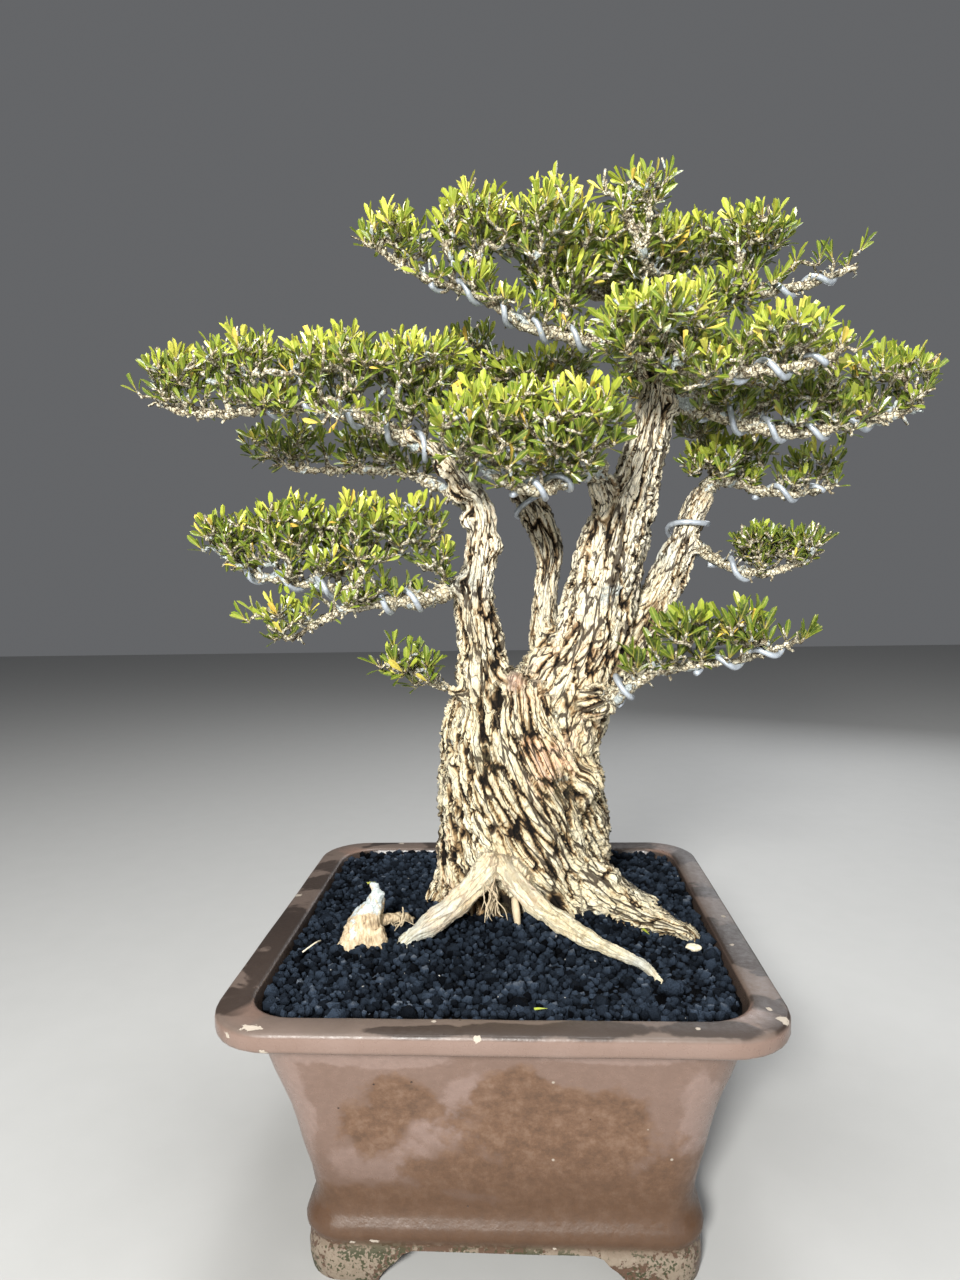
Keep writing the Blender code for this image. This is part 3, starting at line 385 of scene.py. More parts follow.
def tube_mesh(name: str, paths: Iterable[Array], sides: int) -> Mesh:
    """Round tubes with closed ends, all in one mesh.

    Args:
        name: the mesh's name.
        paths: rows of x, y, z and radius for each tube.
        sides: how many sides each has, an even number from 4 up.

    Returns:
        The mesh, in millimetres.
    """
    data = bpy.data.curves.new(name, "CURVE")
    data.dimensions = "3D"
    data.bevel_depth = 1.0
    data.bevel_resolution = (sides - 4) // 2
    data.use_fill_caps = True
    for path in paths:
        spline = data.splines.new("POLY")
        spline.points.add(len(path) - 1)
        spline.points.foreach_set("co", np.hstack([path[:, :3], np.ones((len(path), 1))]).ravel())
        spline.points.foreach_set("radius", path[:, 3])
    mesh = mesh_of(new_object(name, data))
    bm = bmesh.new()
    bm.from_mesh(mesh)
    bmesh.ops.remove_doubles(bm, verts=bm.verts, dist=0.001)
    bmesh.ops.recalc_face_normals(bm, faces=bm.faces)
    bm.to_mesh(mesh)
    bm.free()
    return mesh


def coil_path(track: Array, low: float, high: float, slimness: float, pitch: float = WIRE_PITCH) -> Array:
    """The middle line of wire wound round a branch.

    Args:
        track: the branch, as rows of x, y, z and radius.
        low: the length along it where the wire starts.
        high: the length where it ends.
        slimness: the branch's real radius as a share of the track's.
        pitch: how far along the branch each turn goes.

    Returns:
        Rows of x, y, z and radius.
    """
    lengths, ways = lengths_of(track), ways_of(track)
    points = []
    for length in np.arange(low, high, pitch / TURN_POINTS):
        centre, way = row_at(track, lengths, length), row_at(ways, lengths, length)
        down = unit(way * way[2] - UP)
        angle = 2 * math.pi * (length - low) / pitch
        out = down * math.cos(angle) + np.cross(way, down) * math.sin(angle)
        reach = centre[3] * slimness + WIRE_RADIUS + WIRE_ROOM
        points.append((*(centre[:3] + out * reach), WIRE_RADIUS))
    return np.array(points)


def mesh_of(obj: Object) -> Mesh:
    """The object's mesh with its modifiers applied. The object itself is removed.

    Args:
        obj: a mesh or a curve object.

    Returns:
        A new mesh of the same name.
    """
    bpy.context.view_layer.update()
    graph = bpy.context.evaluated_depsgraph_get()
    mesh = bpy.data.meshes.new_from_object(obj.evaluated_get(graph))
    name, data = obj.name, obj.data
    bpy.data.objects.remove(obj)
    (bpy.data.curves if isinstance(data, bpy.types.Curve) else bpy.data.meshes).remove(data)
    mesh.name = name
    return mesh


def new_object(name: str, data: bpy.types.ID) -> Object:
    """An object in the scene that holds this data."""
    obj = bpy.data.objects.new(name, data)
    bpy.context.scene.collection.objects.link(obj)
    return obj


def joined(name: str, meshes: Iterable[Mesh]) -> Mesh:
    """One mesh that holds all the others, which are removed.

    Args:
        name: the new mesh's name.
        meshes: what it takes in.

    Returns:
        The new mesh.
    """
    bm = bmesh.new()
    for mesh in meshes:
        bm.from_mesh(mesh)
        bpy.data.meshes.remove(mesh)
    return to_mesh(name, bm)


def remeshed(mesh: Mesh, voxel: float, smoothing: int) -> Mesh:
    """The outside of overlapping solids as one even skin.

    Args:
        mesh: closed solids that overlap.
        voxel: the side of its faces.
        smoothing: how many times it is smoothed.

    Returns:
        The new mesh.
    """
    obj = new_object(mesh.name, mesh)
    remesh = obj.modifiers.new("skin", "REMESH")
    remesh.mode = "VOXEL"
    remesh.voxel_size = voxel
    smooth = obj.modifiers.new("smooth", "SMOOTH")
    smooth.factor = 0.5
    smooth.iterations = smoothing
    return mesh_of(obj)


def lofted(rings: Sequence[Array]) -> BMesh:
    """Skins a row of rings that have the same number of points, and closes both ends.

    Args:
        rings: the points of each ring.

    Returns:
        The skin, with its faces pointing out.
    """
    bm = bmesh.new()
    before: list[bmesh.types.BMEdge] = []
    for number, ring in enumerate(rings):
        capped = number in (0, len(rings) - 1)
        made = bmesh.ops.create_circle(bm, cap_ends=capped, segments=len(ring), radius=1.0)["verts"]
        for vert, point in zip(made, ring):
            vert.co = point
        edges = list({edge for vert in made for edge in vert.link_edges})
        if before:
            bmesh.ops.bridge_loops(bm, edges=before + edges)
        before = edges
    bmesh.ops.recalc_face_normals(bm, faces=bm.faces)
    return bm


def to_mesh(name: str, bm: BMesh) -> Mesh:
    """Writes a bmesh to a new mesh and frees it."""
    mesh = bpy.data.meshes.new(name)
    bm.to_mesh(mesh)
    bm.free()
    return mesh


def points_of(mesh: Mesh, what: str = "co") -> Array:
    """The mesh's points, or with "normal" their normals, one row each."""
    rows = np.empty(len(mesh.vertices) * 3)
    mesh.vertices.foreach_get(what, rows)
    return rows.reshape(-1, 3)


def set_points(mesh: Mesh, points: Array) -> None:
    """Moves the mesh's points to these places."""
    mesh.vertices.foreach_set("co", points.ravel())
    mesh.update()


def set_values(mesh: Mesh, name: str, values: Array) -> None:
    """Keeps a number or a vector for each point in an attribute that a material reads."""
    kind, key = ("FLOAT_VECTOR", "vector") if np.ndim(values) == 2 else ("FLOAT", "value")
    attribute = mesh.attributes.new(name, kind, "POINT")
    attribute.data.foreach_set(key, np.asarray(values, np.float32).ravel())


def lump(name: str, detail: int, middle: Sequence[float], half: Sequence[float]) -> Mesh:
    """A round lump.

    Args:
        name: the mesh's name.
        detail: how often its faces are split in four.
        middle: its middle.
        half: its half sizes.

    Returns:
        Its mesh.
    """
    bm = bmesh.new()
    bmesh.ops.create_icosphere(bm, subdivisions=detail, radius=1.0)
    bmesh.ops.scale(bm, vec=half, verts=bm.verts)
    bmesh.ops.translate(bm, vec=middle, verts=bm.verts)
    return to_mesh(name, bm)


def copies(name: str, template: Mesh, turns: Array, places: Array) -> Mesh:
    """One mesh holding many copies of a small one.

    Args:
        name: the new mesh's name.
        template: the shape to copy, made of triangles.
        turns: a 3 by 3 matrix for each copy, with its size in it.
        places: where each copy goes.

    Returns:
        The new mesh.
    """
    shape = points_of(template)
    corners = np.array([tuple(face.vertices) for face in template.polygons])
    points = np.einsum("nij,vj->nvi", turns, shape) + places[:, None, :]
    offsets = np.arange(len(places))[:, None, None] * len(shape)
    faces = (corners[None] + offsets).reshape(-1)
    mesh = bpy.data.meshes.new(name)
    mesh.vertices.add(points.shape[0] * points.shape[1])
    mesh.loops.add(len(faces))
    mesh.polygons.add(len(faces) // 3)
    mesh.vertices.foreach_set("co", points.ravel())
    mesh.loops.foreach_set("vertex_index", faces.astype(np.int32))
    mesh.polygons.foreach_set("loop_start", np.arange(0, len(faces), 3, dtype=np.int32))
    mesh.update(calc_edges=True)
    return mesh


def roughen(mesh: Mesh, size: float, amount: float) -> None:
    """Moves each point in or out by soft noise.

    Args:
        mesh: the mesh to change.
        size: how far apart the bumps are.
        amount: how high they are.
    """
    points = points_of(mesh)
    heights = noise_at(points, size) * amount
    set_points(mesh, points + points_of(mesh, "normal") * heights[:, None])


def add_piece(mesh: Mesh, finish: Material, replaces: str = "", smooth: bool = True) -> None:
    """Makes a mesh a finished piece of the object, in metres in the shared frame.

    Args:
        mesh: its mesh, in millimetres round the pot's middle, with the piece's name.
        finish: its material.
        replaces: the solid that it stands for, if any.
        smooth: whether its faces are shaded smooth.
    """
    mesh.transform(Matrix.Scale(MM, 4) @ Matrix.Translation(Vector(POT_MIDDLE)))
    piece = new_object(mesh.name, mesh)
    mesh.materials.clear()
    mesh.materials.append(finish)
    mesh.polygons.foreach_set("use_smooth", np.full(len(mesh.polygons), smooth))
    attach(piece, "root")
    if replaces:
        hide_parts(replaces)
    triangles = sum(len(face.vertices) - 2 for face in mesh.polygons)
    LOG.info("%s: %d triangles", piece.name, triangles)


# Materials

LICHEN_TONES = ((0.3, (0.24, 0.29, 0.27)), (0.5, (0.5, 0.55, 0.54)), (0.7, (0.8, 0.84, 0.85)))


class Value:
    """What a node puts out. Values can be added, subtracted and multiplied, and | takes the larger."""

    def __init__(self, graph: "Graph", socket: bpy.types.NodeSocket) -> None:
        """Args: graph: the graph that it is in. socket: where it comes out."""
        self.graph, self.socket = graph, socket

    def __add__(self, other: object) -> "Value":
        """Both added."""
        return self.graph.maths("ADD", self, other)

    def __sub__(self, other: object) -> "Value":
        """This one less the other."""
        return self.graph.maths("SUBTRACT", self, other)

    def __mul__(self, other: object) -> "Value":
        """Both multiplied."""
        return self.graph.maths("MULTIPLY", self, other)

    def __or__(self, other: object) -> "Value":
        """The larger of both."""
        return self.graph.maths("MAXIMUM", self, other)


class Graph:
    """Short ways to put nodes in one node tree."""

    def __init__(self, tree: Tree) -> None:
        """Args: tree: the node tree to work in."""
        self.tree = tree

    def add(self, kind: str, **settings: object) -> Node:
        """A new node with these settings."""
        node = self.tree.nodes.new(kind)
        for name, value in settings.items():
            setattr(node, name, value)
        return node

    def feed(self, node: Node, given: dict) -> None:
        """Links or sets some of a node's inputs.

        Args:
            node: the node.
            given: a value, or a plain number or colour, for each input's name or number.
        """
        for name, value in given.items():
            target = node.inputs[name]
            if isinstance(value, Value):
                self.tree.links.new(value.socket, target)
            elif isinstance(value, tuple) and len(value) == 3 and target.type == "RGBA":
                target.default_value = (*value, 1.0)
            else:
                target.default_value = value

    def node(self, kind: str, given: dict, output: object = 0, **settings: object) -> Value:
        """What a new node makes of what it is given.

        Args:
            kind: its kind, without the first word that all of them share.
            given: what goes into its inputs, as feed takes it.
            output: the name or number of the output that is read.
            settings: its own settings.

        Returns:
            What comes out.
        """
        node = self.add(f"ShaderNode{kind}", **settings)
        self.feed(node, given)
        return Value(self, node.outputs[output])

    def outputs(self, node: Node) -> dict[str, Value]:
        """What comes out of a node, by name."""
        return {socket.name: Value(self, socket) for socket in node.outputs}

    def place(self, scale: Colour = (1.0, 1.0, 1.0)) -> Value:
        """Object coordinates, stretched by a scale."""
        return self.node("Mapping", {"Vector": self.node("TexCoord", {}, "Object"), "Scale": scale}, "Vector")

    def value(self, name: str, output: str = "Fac") -> Value:
        """One of the mesh's own values."""
        return self.node("Attribute", {}, output, attribute_name=name)

    def noise(
        self, place: Value, scale: object, detail: float, rough: float = 0.55, warp: float = 0.0
    ) -> Value:
        """Cloudy noise from 0 to 1."""
        given = {"Vector": place, "Scale": scale, "Detail": detail, "Roughness": rough, "Distortion": warp}
        return self.node("TexNoise", given, "Fac")

    def warped(self, place: Value, scale: float, amount: float) -> Value:
        """A place moved about by noise."""
        cloud = self.node("TexNoise", {"Vector": place, "Scale": scale, "Detail": 3.0}, "Color")
        given = {0: cloud, 1: (amount, amount, amount), 2: place}
        return self.node("VectorMath", given, "Vector", operation="MULTIPLY_ADD")

    def cells(self, place: Value, scale: object, feature: str = "F1", output: str = "Distance") -> Value:
        """A cell pattern: the distance to a cell's middle or edge, or its colour."""
        return self.node("TexVoronoi", {"Vector": place, "Scale": scale}, output, feature=feature)

    def span(
        self, value: Value, low: object, high: object, to_low: float = 0.0, to_high: float = 1.0
    ) -> Value:
        """Spreads the part of a value between low and high over another span, with soft ends."""
        given = dict(enumerate((value, low, high, to_low, to_high)))
        return self.node("MapRange", given, "Result", interpolation_type="SMOOTHSTEP")

    def maths(self, kind: str, a: object, b: object) -> Value:
        """Two values brought together by one operation."""
        return self.node("Math", {0: a, 1: b}, operation=kind)

    def mix(self, share: object, a: object, b: object, blend: str = "MIX") -> Value:
        """Two colours mixed by a share."""
        return self.node("Mix", {0: share, 6: a, 7: b}, 2, data_type="RGBA", blend_type=blend)

    def ramp(self, value: Value, *stops: tuple[float, Colour]) -> Value:
        """A value turned into a colour by stops."""
        node = self.add("ShaderNodeValToRGB")
        self.feed(node, {0: value})
        elements = node.color_ramp.elements
        for _ in stops[2:]:
            elements.new(0.5)
        for element, (position, colour) in zip(elements, stops):
            element.position = position
            element.color = (*colour, 1.0)
        return Value(self, node.outputs["Color"])

    def group(self, tree: Tree, **given: object) -> dict[str, Value]:
        """What comes out of a node group placed with its own values."""
        node = self.add("ShaderNodeGroup", node_tree=tree)
        self.feed(node, given)
        return self.outputs(node)

    def axis(self, letter: str) -> Value:
        """X, Y or Z of the place, in metres."""
        return self.node("SeparateXYZ", {0: self.place()}, letter)

    def blobs(self, rows: Rows) -> Value:
        """Rounded patches: 1 in the middle of each, 0 at its edge and less beyond.

        Args:
            rows: x, y, z and half sizes of each, in millimetres round the pot's middle.

        Returns:
            The highest of them.
        """
        found: object = -9.0
        for row in rows:
            scale = 1.0 / (np.array(row[3:]) * MM)
            shift = -(np.array(row[:3]) + POT_MIDDLE) * MM * scale
            given = {"Vector": self.node("TexCoord", {}, "Object"), "Location": shift, "Scale": scale}
            away = self.node("VectorMath", {0: self.node("Mapping", given)}, "Value", operation="LENGTH")
            found = self.maths("MAXIMUM", found, self.maths("SUBTRACT", 1.0, away))
        return found

    def bump(self, height: Value, distance: float, strength: float = 1.0) -> Value:
        """A normal bent by a height in metres."""
        return self.node("Bump", {"Height": height, "Distance": distance, "Strength": strength}, "Normal")

    def dress(self, colour: Value, normal: Value, **others: Value) -> None:
        """Gives the material's shader its colour, its normal and whatever else varies."""
        given = {"Base Color": colour, "Normal": normal, **others}
        self.feed(self.tree.nodes["Principled BSDF"], given)


def new_material(
    name: str, roughness: float, specular: float = 0.5, metallic: float = 0.0
) -> tuple[Material, Graph]:
    """A material with its one shader.

    Args:
        name: the material's name.
        roughness: how rough it is where nothing else says so.
        specular: how strongly it reflects.
        metallic: how far it is a metal.

    Returns:
        The material and its graph.
    """
    material = bpy.data.materials.new(name)
    material.use_nodes = True
    graph = Graph(material.node_tree)
    constants = {"Roughness": roughness, "Specular IOR Level": specular, "Metallic": metallic}
    graph.feed(material.node_tree.nodes["Principled BSDF"], constants)
    return material, graph


def new_group(name: str, outputs: Sequence[str], inputs: dict) -> tuple[Graph, dict, Node]:
    """An empty node group with its sockets, of which one named Color is a colour.

    Args:
        name: the group's name.
        outputs: the name of each output.
        inputs: the first value of each input, or None for a vector.

    Returns:
        Its graph, what comes in, by name, and the node that it puts out through.
    """
    tree = bpy.data.node_groups.new(name, "ShaderNodeTree")
    for label, value in inputs.items():
        kind = "Vector" if value is None else "Color" if label == "Color" else "Float"
        socket = tree.interface.new_socket(label, in_out="INPUT", socket_type=f"NodeSocket{kind}")
        if value is not None:
            socket.default_value = value
    for label in outputs:
        kind = "Color" if label == "Color" else "Float"
        tree.interface.new_socket(label, in_out="OUTPUT", socket_type=f"NodeSocket{kind}")
    graph = Graph(tree)
    return graph, graph.outputs(graph.add("NodeGroupInput")), graph.add("NodeGroupOutput")


def make_patches_group() -> Tree:
    """Soft-edged patches, such as stains and damp. Returns: a group with a Mask output."""
    sockets = {"Vector": None, "Scale": 10.0, "Start": 0.5, "Full": 0.6, "Grain": 0.1}
    graph, given, made = new_group("patches", ["Mask"], sockets)
    broad = graph.noise(given["Vector"], given["Scale"], 6.0, 0.55, 0.6)
    fine = (graph.noise(given["Vector"], given["Scale"] * 14.0, 3.0) - 0.5) * given["Grain"]
    graph.feed(made, {"Mask": graph.span(broad + fine, given["Start"], given["Full"])})
    return graph.tree


def make_specks_group() -> Tree:
    """Separate specks, such as lime, grit and pores. Returns: a group with a Mask output."""
    sockets = {"Vector": None, "Scale": 200.0, "Size": 0.2, "Share": 0.2}
    graph, given, made = new_group("specks", ["Mask"], sockets)
    distance = graph.cells(given["Vector"], given["Scale"])
    chosen = graph.cells(given["Vector"], given["Scale"], output="Color")
    number = graph.add("ShaderNodeSeparateColor")
    graph.feed(number, {0: chosen})
    first, second, _ = graph.outputs(number).values()
    size = given["Size"] * second
    spot = graph.span(distance, size * 0.6, size, 1.0, 0.0)
    graph.feed(made, {"Mask": spot * graph.maths("LESS_THAN", first, given["Share"])})
    return graph.tree


def make_lichen_group() -> Tree:
    """Blue-white lichen over a colour. Returns: a group with Color and Height outputs."""
    sockets = {"Vector": None, "Color": (0.5, 0.5, 0.5, 1.0), "Scale": 60.0, "Start": 0.6}
    graph, given, made = new_group("lichen", ["Color", "Height"], sockets)
    patch = graph.noise(given["Vector"], given["Scale"], 5.0, 0.6, 0.3)
    mask = graph.span(patch, given["Start"], given["Start"] + 0.05)
    crust = graph.noise(given["Vector"], 900.0, 4.0, 0.7)
    colour = graph.ramp(crust, *LICHEN_TONES)
    graph.feed(made, {"Color": graph.mix(mask, given["Color"], colour), "Height": mask * crust})
    return graph.tree


@dataclass(frozen=True)
class BarkFinish:
    """Corky bark: pale plates, painted shade in the fissures, a healed knot, and moss and painted shadow in
    the hollows.
    """

    pale: Colour = (0.8, 0.71, 0.5)
    cream: Colour = (0.97, 0.93, 0.74)
    # Painted light: the lighter cream of the limbs high up.
    painted_light_cream: Colour = (0.98, 0.94, 0.82)
    tan: Colour = (0.56, 0.44, 0.27)
    pink: Colour = (0.92, 0.6, 0.43)
    # Moss, and painted shade in the hollow under the front roots.
    moss: Colour = (0.07, 0.056, 0.028)
    # Painted shade: the near-black colour of the fine cracks.
    crack: Colour = (0.034, 0.022, 0.014)
    fibre: Colour = (0.24, 0.16, 0.09)
    crust: Colour = (0.62, 0.66, 0.62)
    knot: tuple = ((0.32, 0.19, 0.15), (0.78, 0.56, 0.46))
    # Painted shade: the deeper in the fissures, the darker the bark, down to near black.
    painted_shade: tuple = (
        (0.0, (1.0, 1.0, 1.0)), (0.5, (0.93, 0.87, 0.75)), (0.74, (0.4, 0.29, 0.19)),
        (0.97, (0.014, 0.009, 0.006)),
    )
    blush: tuple = ((36, -16, 264, 22, 14, 24), (52, -12, 286, 16, 14, 18), (24, -16, 278, 15, 12, 16))

    def build(self, lichen: Tree, patches: Tree) -> Material:
        """Args: lichen, patches: the shared groups. Returns: the material."""
        material, graph = new_material("corky bark", 0.86, 0.25)
        place, along = graph.place(), graph.place((1.0, 1.0, 0.35))
        plates = graph.mix(graph.noise(along, 90.0, 6.0, 0.65), self.pale, self.cream)
        # Painted light: the wood from about 280 mm up is painted lighter, against the canopy's shadow.
        plates = graph.mix(graph.span(graph.axis("Z"), 0.28, 0.42, 0.0, 0.55), plates, self.painted_light_cream)
        stain = graph.group(patches, Vector=along, Scale=26.0, Start=0.5, Full=0.66, Grain=0.5)["Mask"]
        plates = graph.mix(stain * 0.5, plates, self.tan)
        blush = graph.group(patches, Vector=place, Scale=11.0, Start=0.52, Full=0.7, Grain=0.3)["Mask"]
        ragged = graph.noise(place, 90.0, 5.0, 0.7) - 0.5
        spot = graph.span(graph.blobs(self.blush) + ragged * 1.6, 0.0, 0.5)
        plates = graph.mix((blush * 0.6 | spot) * 0.8, plates, self.pink)
        healed = graph.mix(graph.span(ragged, -0.12, 0.12), *self.knot)
        plates = graph.mix(graph.value("scar"), plates, healed)
        crusted = graph.group(lichen, Vector=place, Color=plates, Scale=34.0, Start=0.66)
        plates = graph.mix(graph.value("lichen"), crusted["Color"], self.crust)
        fibres = graph.noise(graph.place((1.0, 1.0, 0.18)), 620.0, 4.0, 0.7)
        plates = graph.mix(graph.span(fibres, 0.6, 0.36, 0.0, 0.28), plates, self.fibre)
        plates, fine = self.cracked(graph, plates)
        # Painted shade in the fissures, and painted shadow in the hollows by the front roots.
        colour = graph.mix(1.0, plates, graph.ramp(graph.value("fissure"), *self.painted_shade), "MULTIPLY")
        # Moss in the hollows, and painted shade in the hollow under the front roots.
        moss_and_shade = graph.value("moss") * graph.span(graph.noise(place, 160.0, 5.0, 0.7), 0.4, 0.6)
        height = graph.noise(place, 700.0, 5.0, 0.7) + fibres * 0.8 + crusted["Height"] - fine * 1.6
        graph.dress(graph.mix(moss_and_shade, colour, self.moss), graph.bump(height, 0.0009, 0.9))
        return material

    def cracked(self, graph: Graph, plates: Value) -> tuple[Value, Value]:
        """Fine cracks in the plates, laid out along each limb and painted near-black as painted shade.

        Args:
            graph: the material's graph.
            plates: the plates' colour.

        Returns:
            The new colour, and how deep in a crack each place is.
        """
        grain = graph.value("grain", "Vector")
        wandering = graph.warped(grain, 0.35, 2.6)
        edge = graph.cells(wandering, 0.21, "DISTANCE_TO_EDGE")
        width = graph.span(graph.noise(grain, 0.13, 3.0), 0.36, 0.64, 0.02, 0.11)
        cracks = graph.span(edge, width * 0.4, width, 1.0, 0.0)
        hair = graph.span(graph.cells(wandering, 0.52, "DISTANCE_TO_EDGE"), 0.0, 0.06, 0.55, 0.0)
        fine = (cracks | hair) * graph.span(graph.value("smooth"), 0.1, 0.6, 1.0, 0.35)
        fine = fine * graph.span(graph.value("scar"), 0.1, 0.5, 1.0, 0.6)
        return graph.mix(fine * 0.93, plates, self.crack), fine


@dataclass(frozen=True)
class TwigFinish:
    """Grey-tan knobbly bark of branches and twigs, with crusts of lichen and painted shade between its
    flakes.
    """

    tones: tuple = (
        (0.35, (0.055, 0.04, 0.028)), (0.45, (0.3, 0.24, 0.15)), (0.53, (0.64, 0.59, 0.43)),
        (0.66, (0.94, 0.91, 0.77)),
    )
    # Painted shade: the near-black colour of the gaps between the flakes.
    pit: Colour = (0.045, 0.032, 0.02)
    crust_start: float = 0.565

    def build(self, lichen: Tree) -> Material:
        """Args: lichen: the shared group. Returns: the material."""
        material, graph = new_material("twig bark", 0.85, 0.25)
        place = graph.place()
        rough = graph.noise(place, 420.0, 6.0, 0.7)
        edge = graph.cells(graph.warped(place, 260.0, 0.002), 300.0, "DISTANCE_TO_EDGE")
        pits = graph.span(edge, 0.0, 0.09, 1.0, 0.0)
        colour = graph.mix(pits * 0.65, graph.ramp(rough, *self.tones), self.pit)
        crusted = graph.group(lichen, Vector=place, Color=colour, Scale=75.0, Start=self.crust_start)
        graph.dress(crusted["Color"], graph.bump(rough + crusted["Height"] - pits, 0.0009, 1.0))
        return material


@dataclass(frozen=True)
class LeafFinish:
    """Leathery leaves: each has its own green, painted lighter or darker for the light that its tuft gets,
    and a paler rib and base.
    """

    greens: tuple = (
        (0.0, (0.022, 0.042, 0.005)), (0.35, (0.115, 0.18, 0.014)), (0.78, (0.46, 0.51, 0.055)),
        (0.92, (0.66, 0.62, 0.12)), (1.0, (0.78, 0.48, 0.08)),
    )
    vein: Colour = (0.3, 0.36, 0.04)
    base: Colour = (0.44, 0.3, 0.08)
    rib: Colour = (0.46, 0.44, 0.1)

    def build(self) -> Material:
        """Returns: the material."""
        material, graph = new_material("leaf", 0.31, 0.6)
        veins = graph.noise(graph.place(), 700.0, 3.0, 0.6)
        blade = graph.ramp(graph.value("tint"), *self.greens)
        blade = graph.mix(graph.span(veins, 0.42, 0.66, 0.0, 0.3), blade, self.vein)
        blade = graph.mix(graph.span(graph.value("along"), 0.45, 0.02) * 0.8, blade, self.base)
        colour = graph.mix(graph.span(graph.value("rib"), 0.72, 1.0, 0.0, 0.45), blade, self.rib)
        graph.dress(colour, graph.bump(veins, 0.0003, 0.5))
        return material


@dataclass(frozen=True)
class GrainFinish:
    """Dark porous lava: blue-black, with each grain a little different, and painted shade on the grains'
    lower sides and between them.
    """

    shades: tuple = ((0.0, (0.0002, 0.0003, 0.0008)), (0.75, (0.028, 0.04, 0.06)),
                     (1.0, (0.09, 0.105, 0.128)))
    dust: Colour = (0.06, 0.07, 0.09)
    grit: Colour = (0.5, 0.48, 0.44)

    def build(self, specks: Tree) -> Material:
        """Args: specks: the shared group. Returns: the material."""
        material, graph = new_material("lava grain", 0.85, 0.05)
        place, shade = graph.place(), graph.value("shade")
        dust = graph.span(graph.noise(place, 800.0, 5.0, 0.7), 0.5, 0.75, 0.0, 0.5) * shade
        colour = graph.mix(dust, graph.ramp(shade, *self.shades), self.dust)
        grit = graph.group(specks, Vector=place, Scale=500.0, Size=0.5, Share=0.012)["Mask"]
        pores = graph.bump(graph.cells(place, 1300.0), 0.0008, 0.9)
        graph.dress(graph.mix(grit * 0.6, colour, self.grit), pores)
        return material


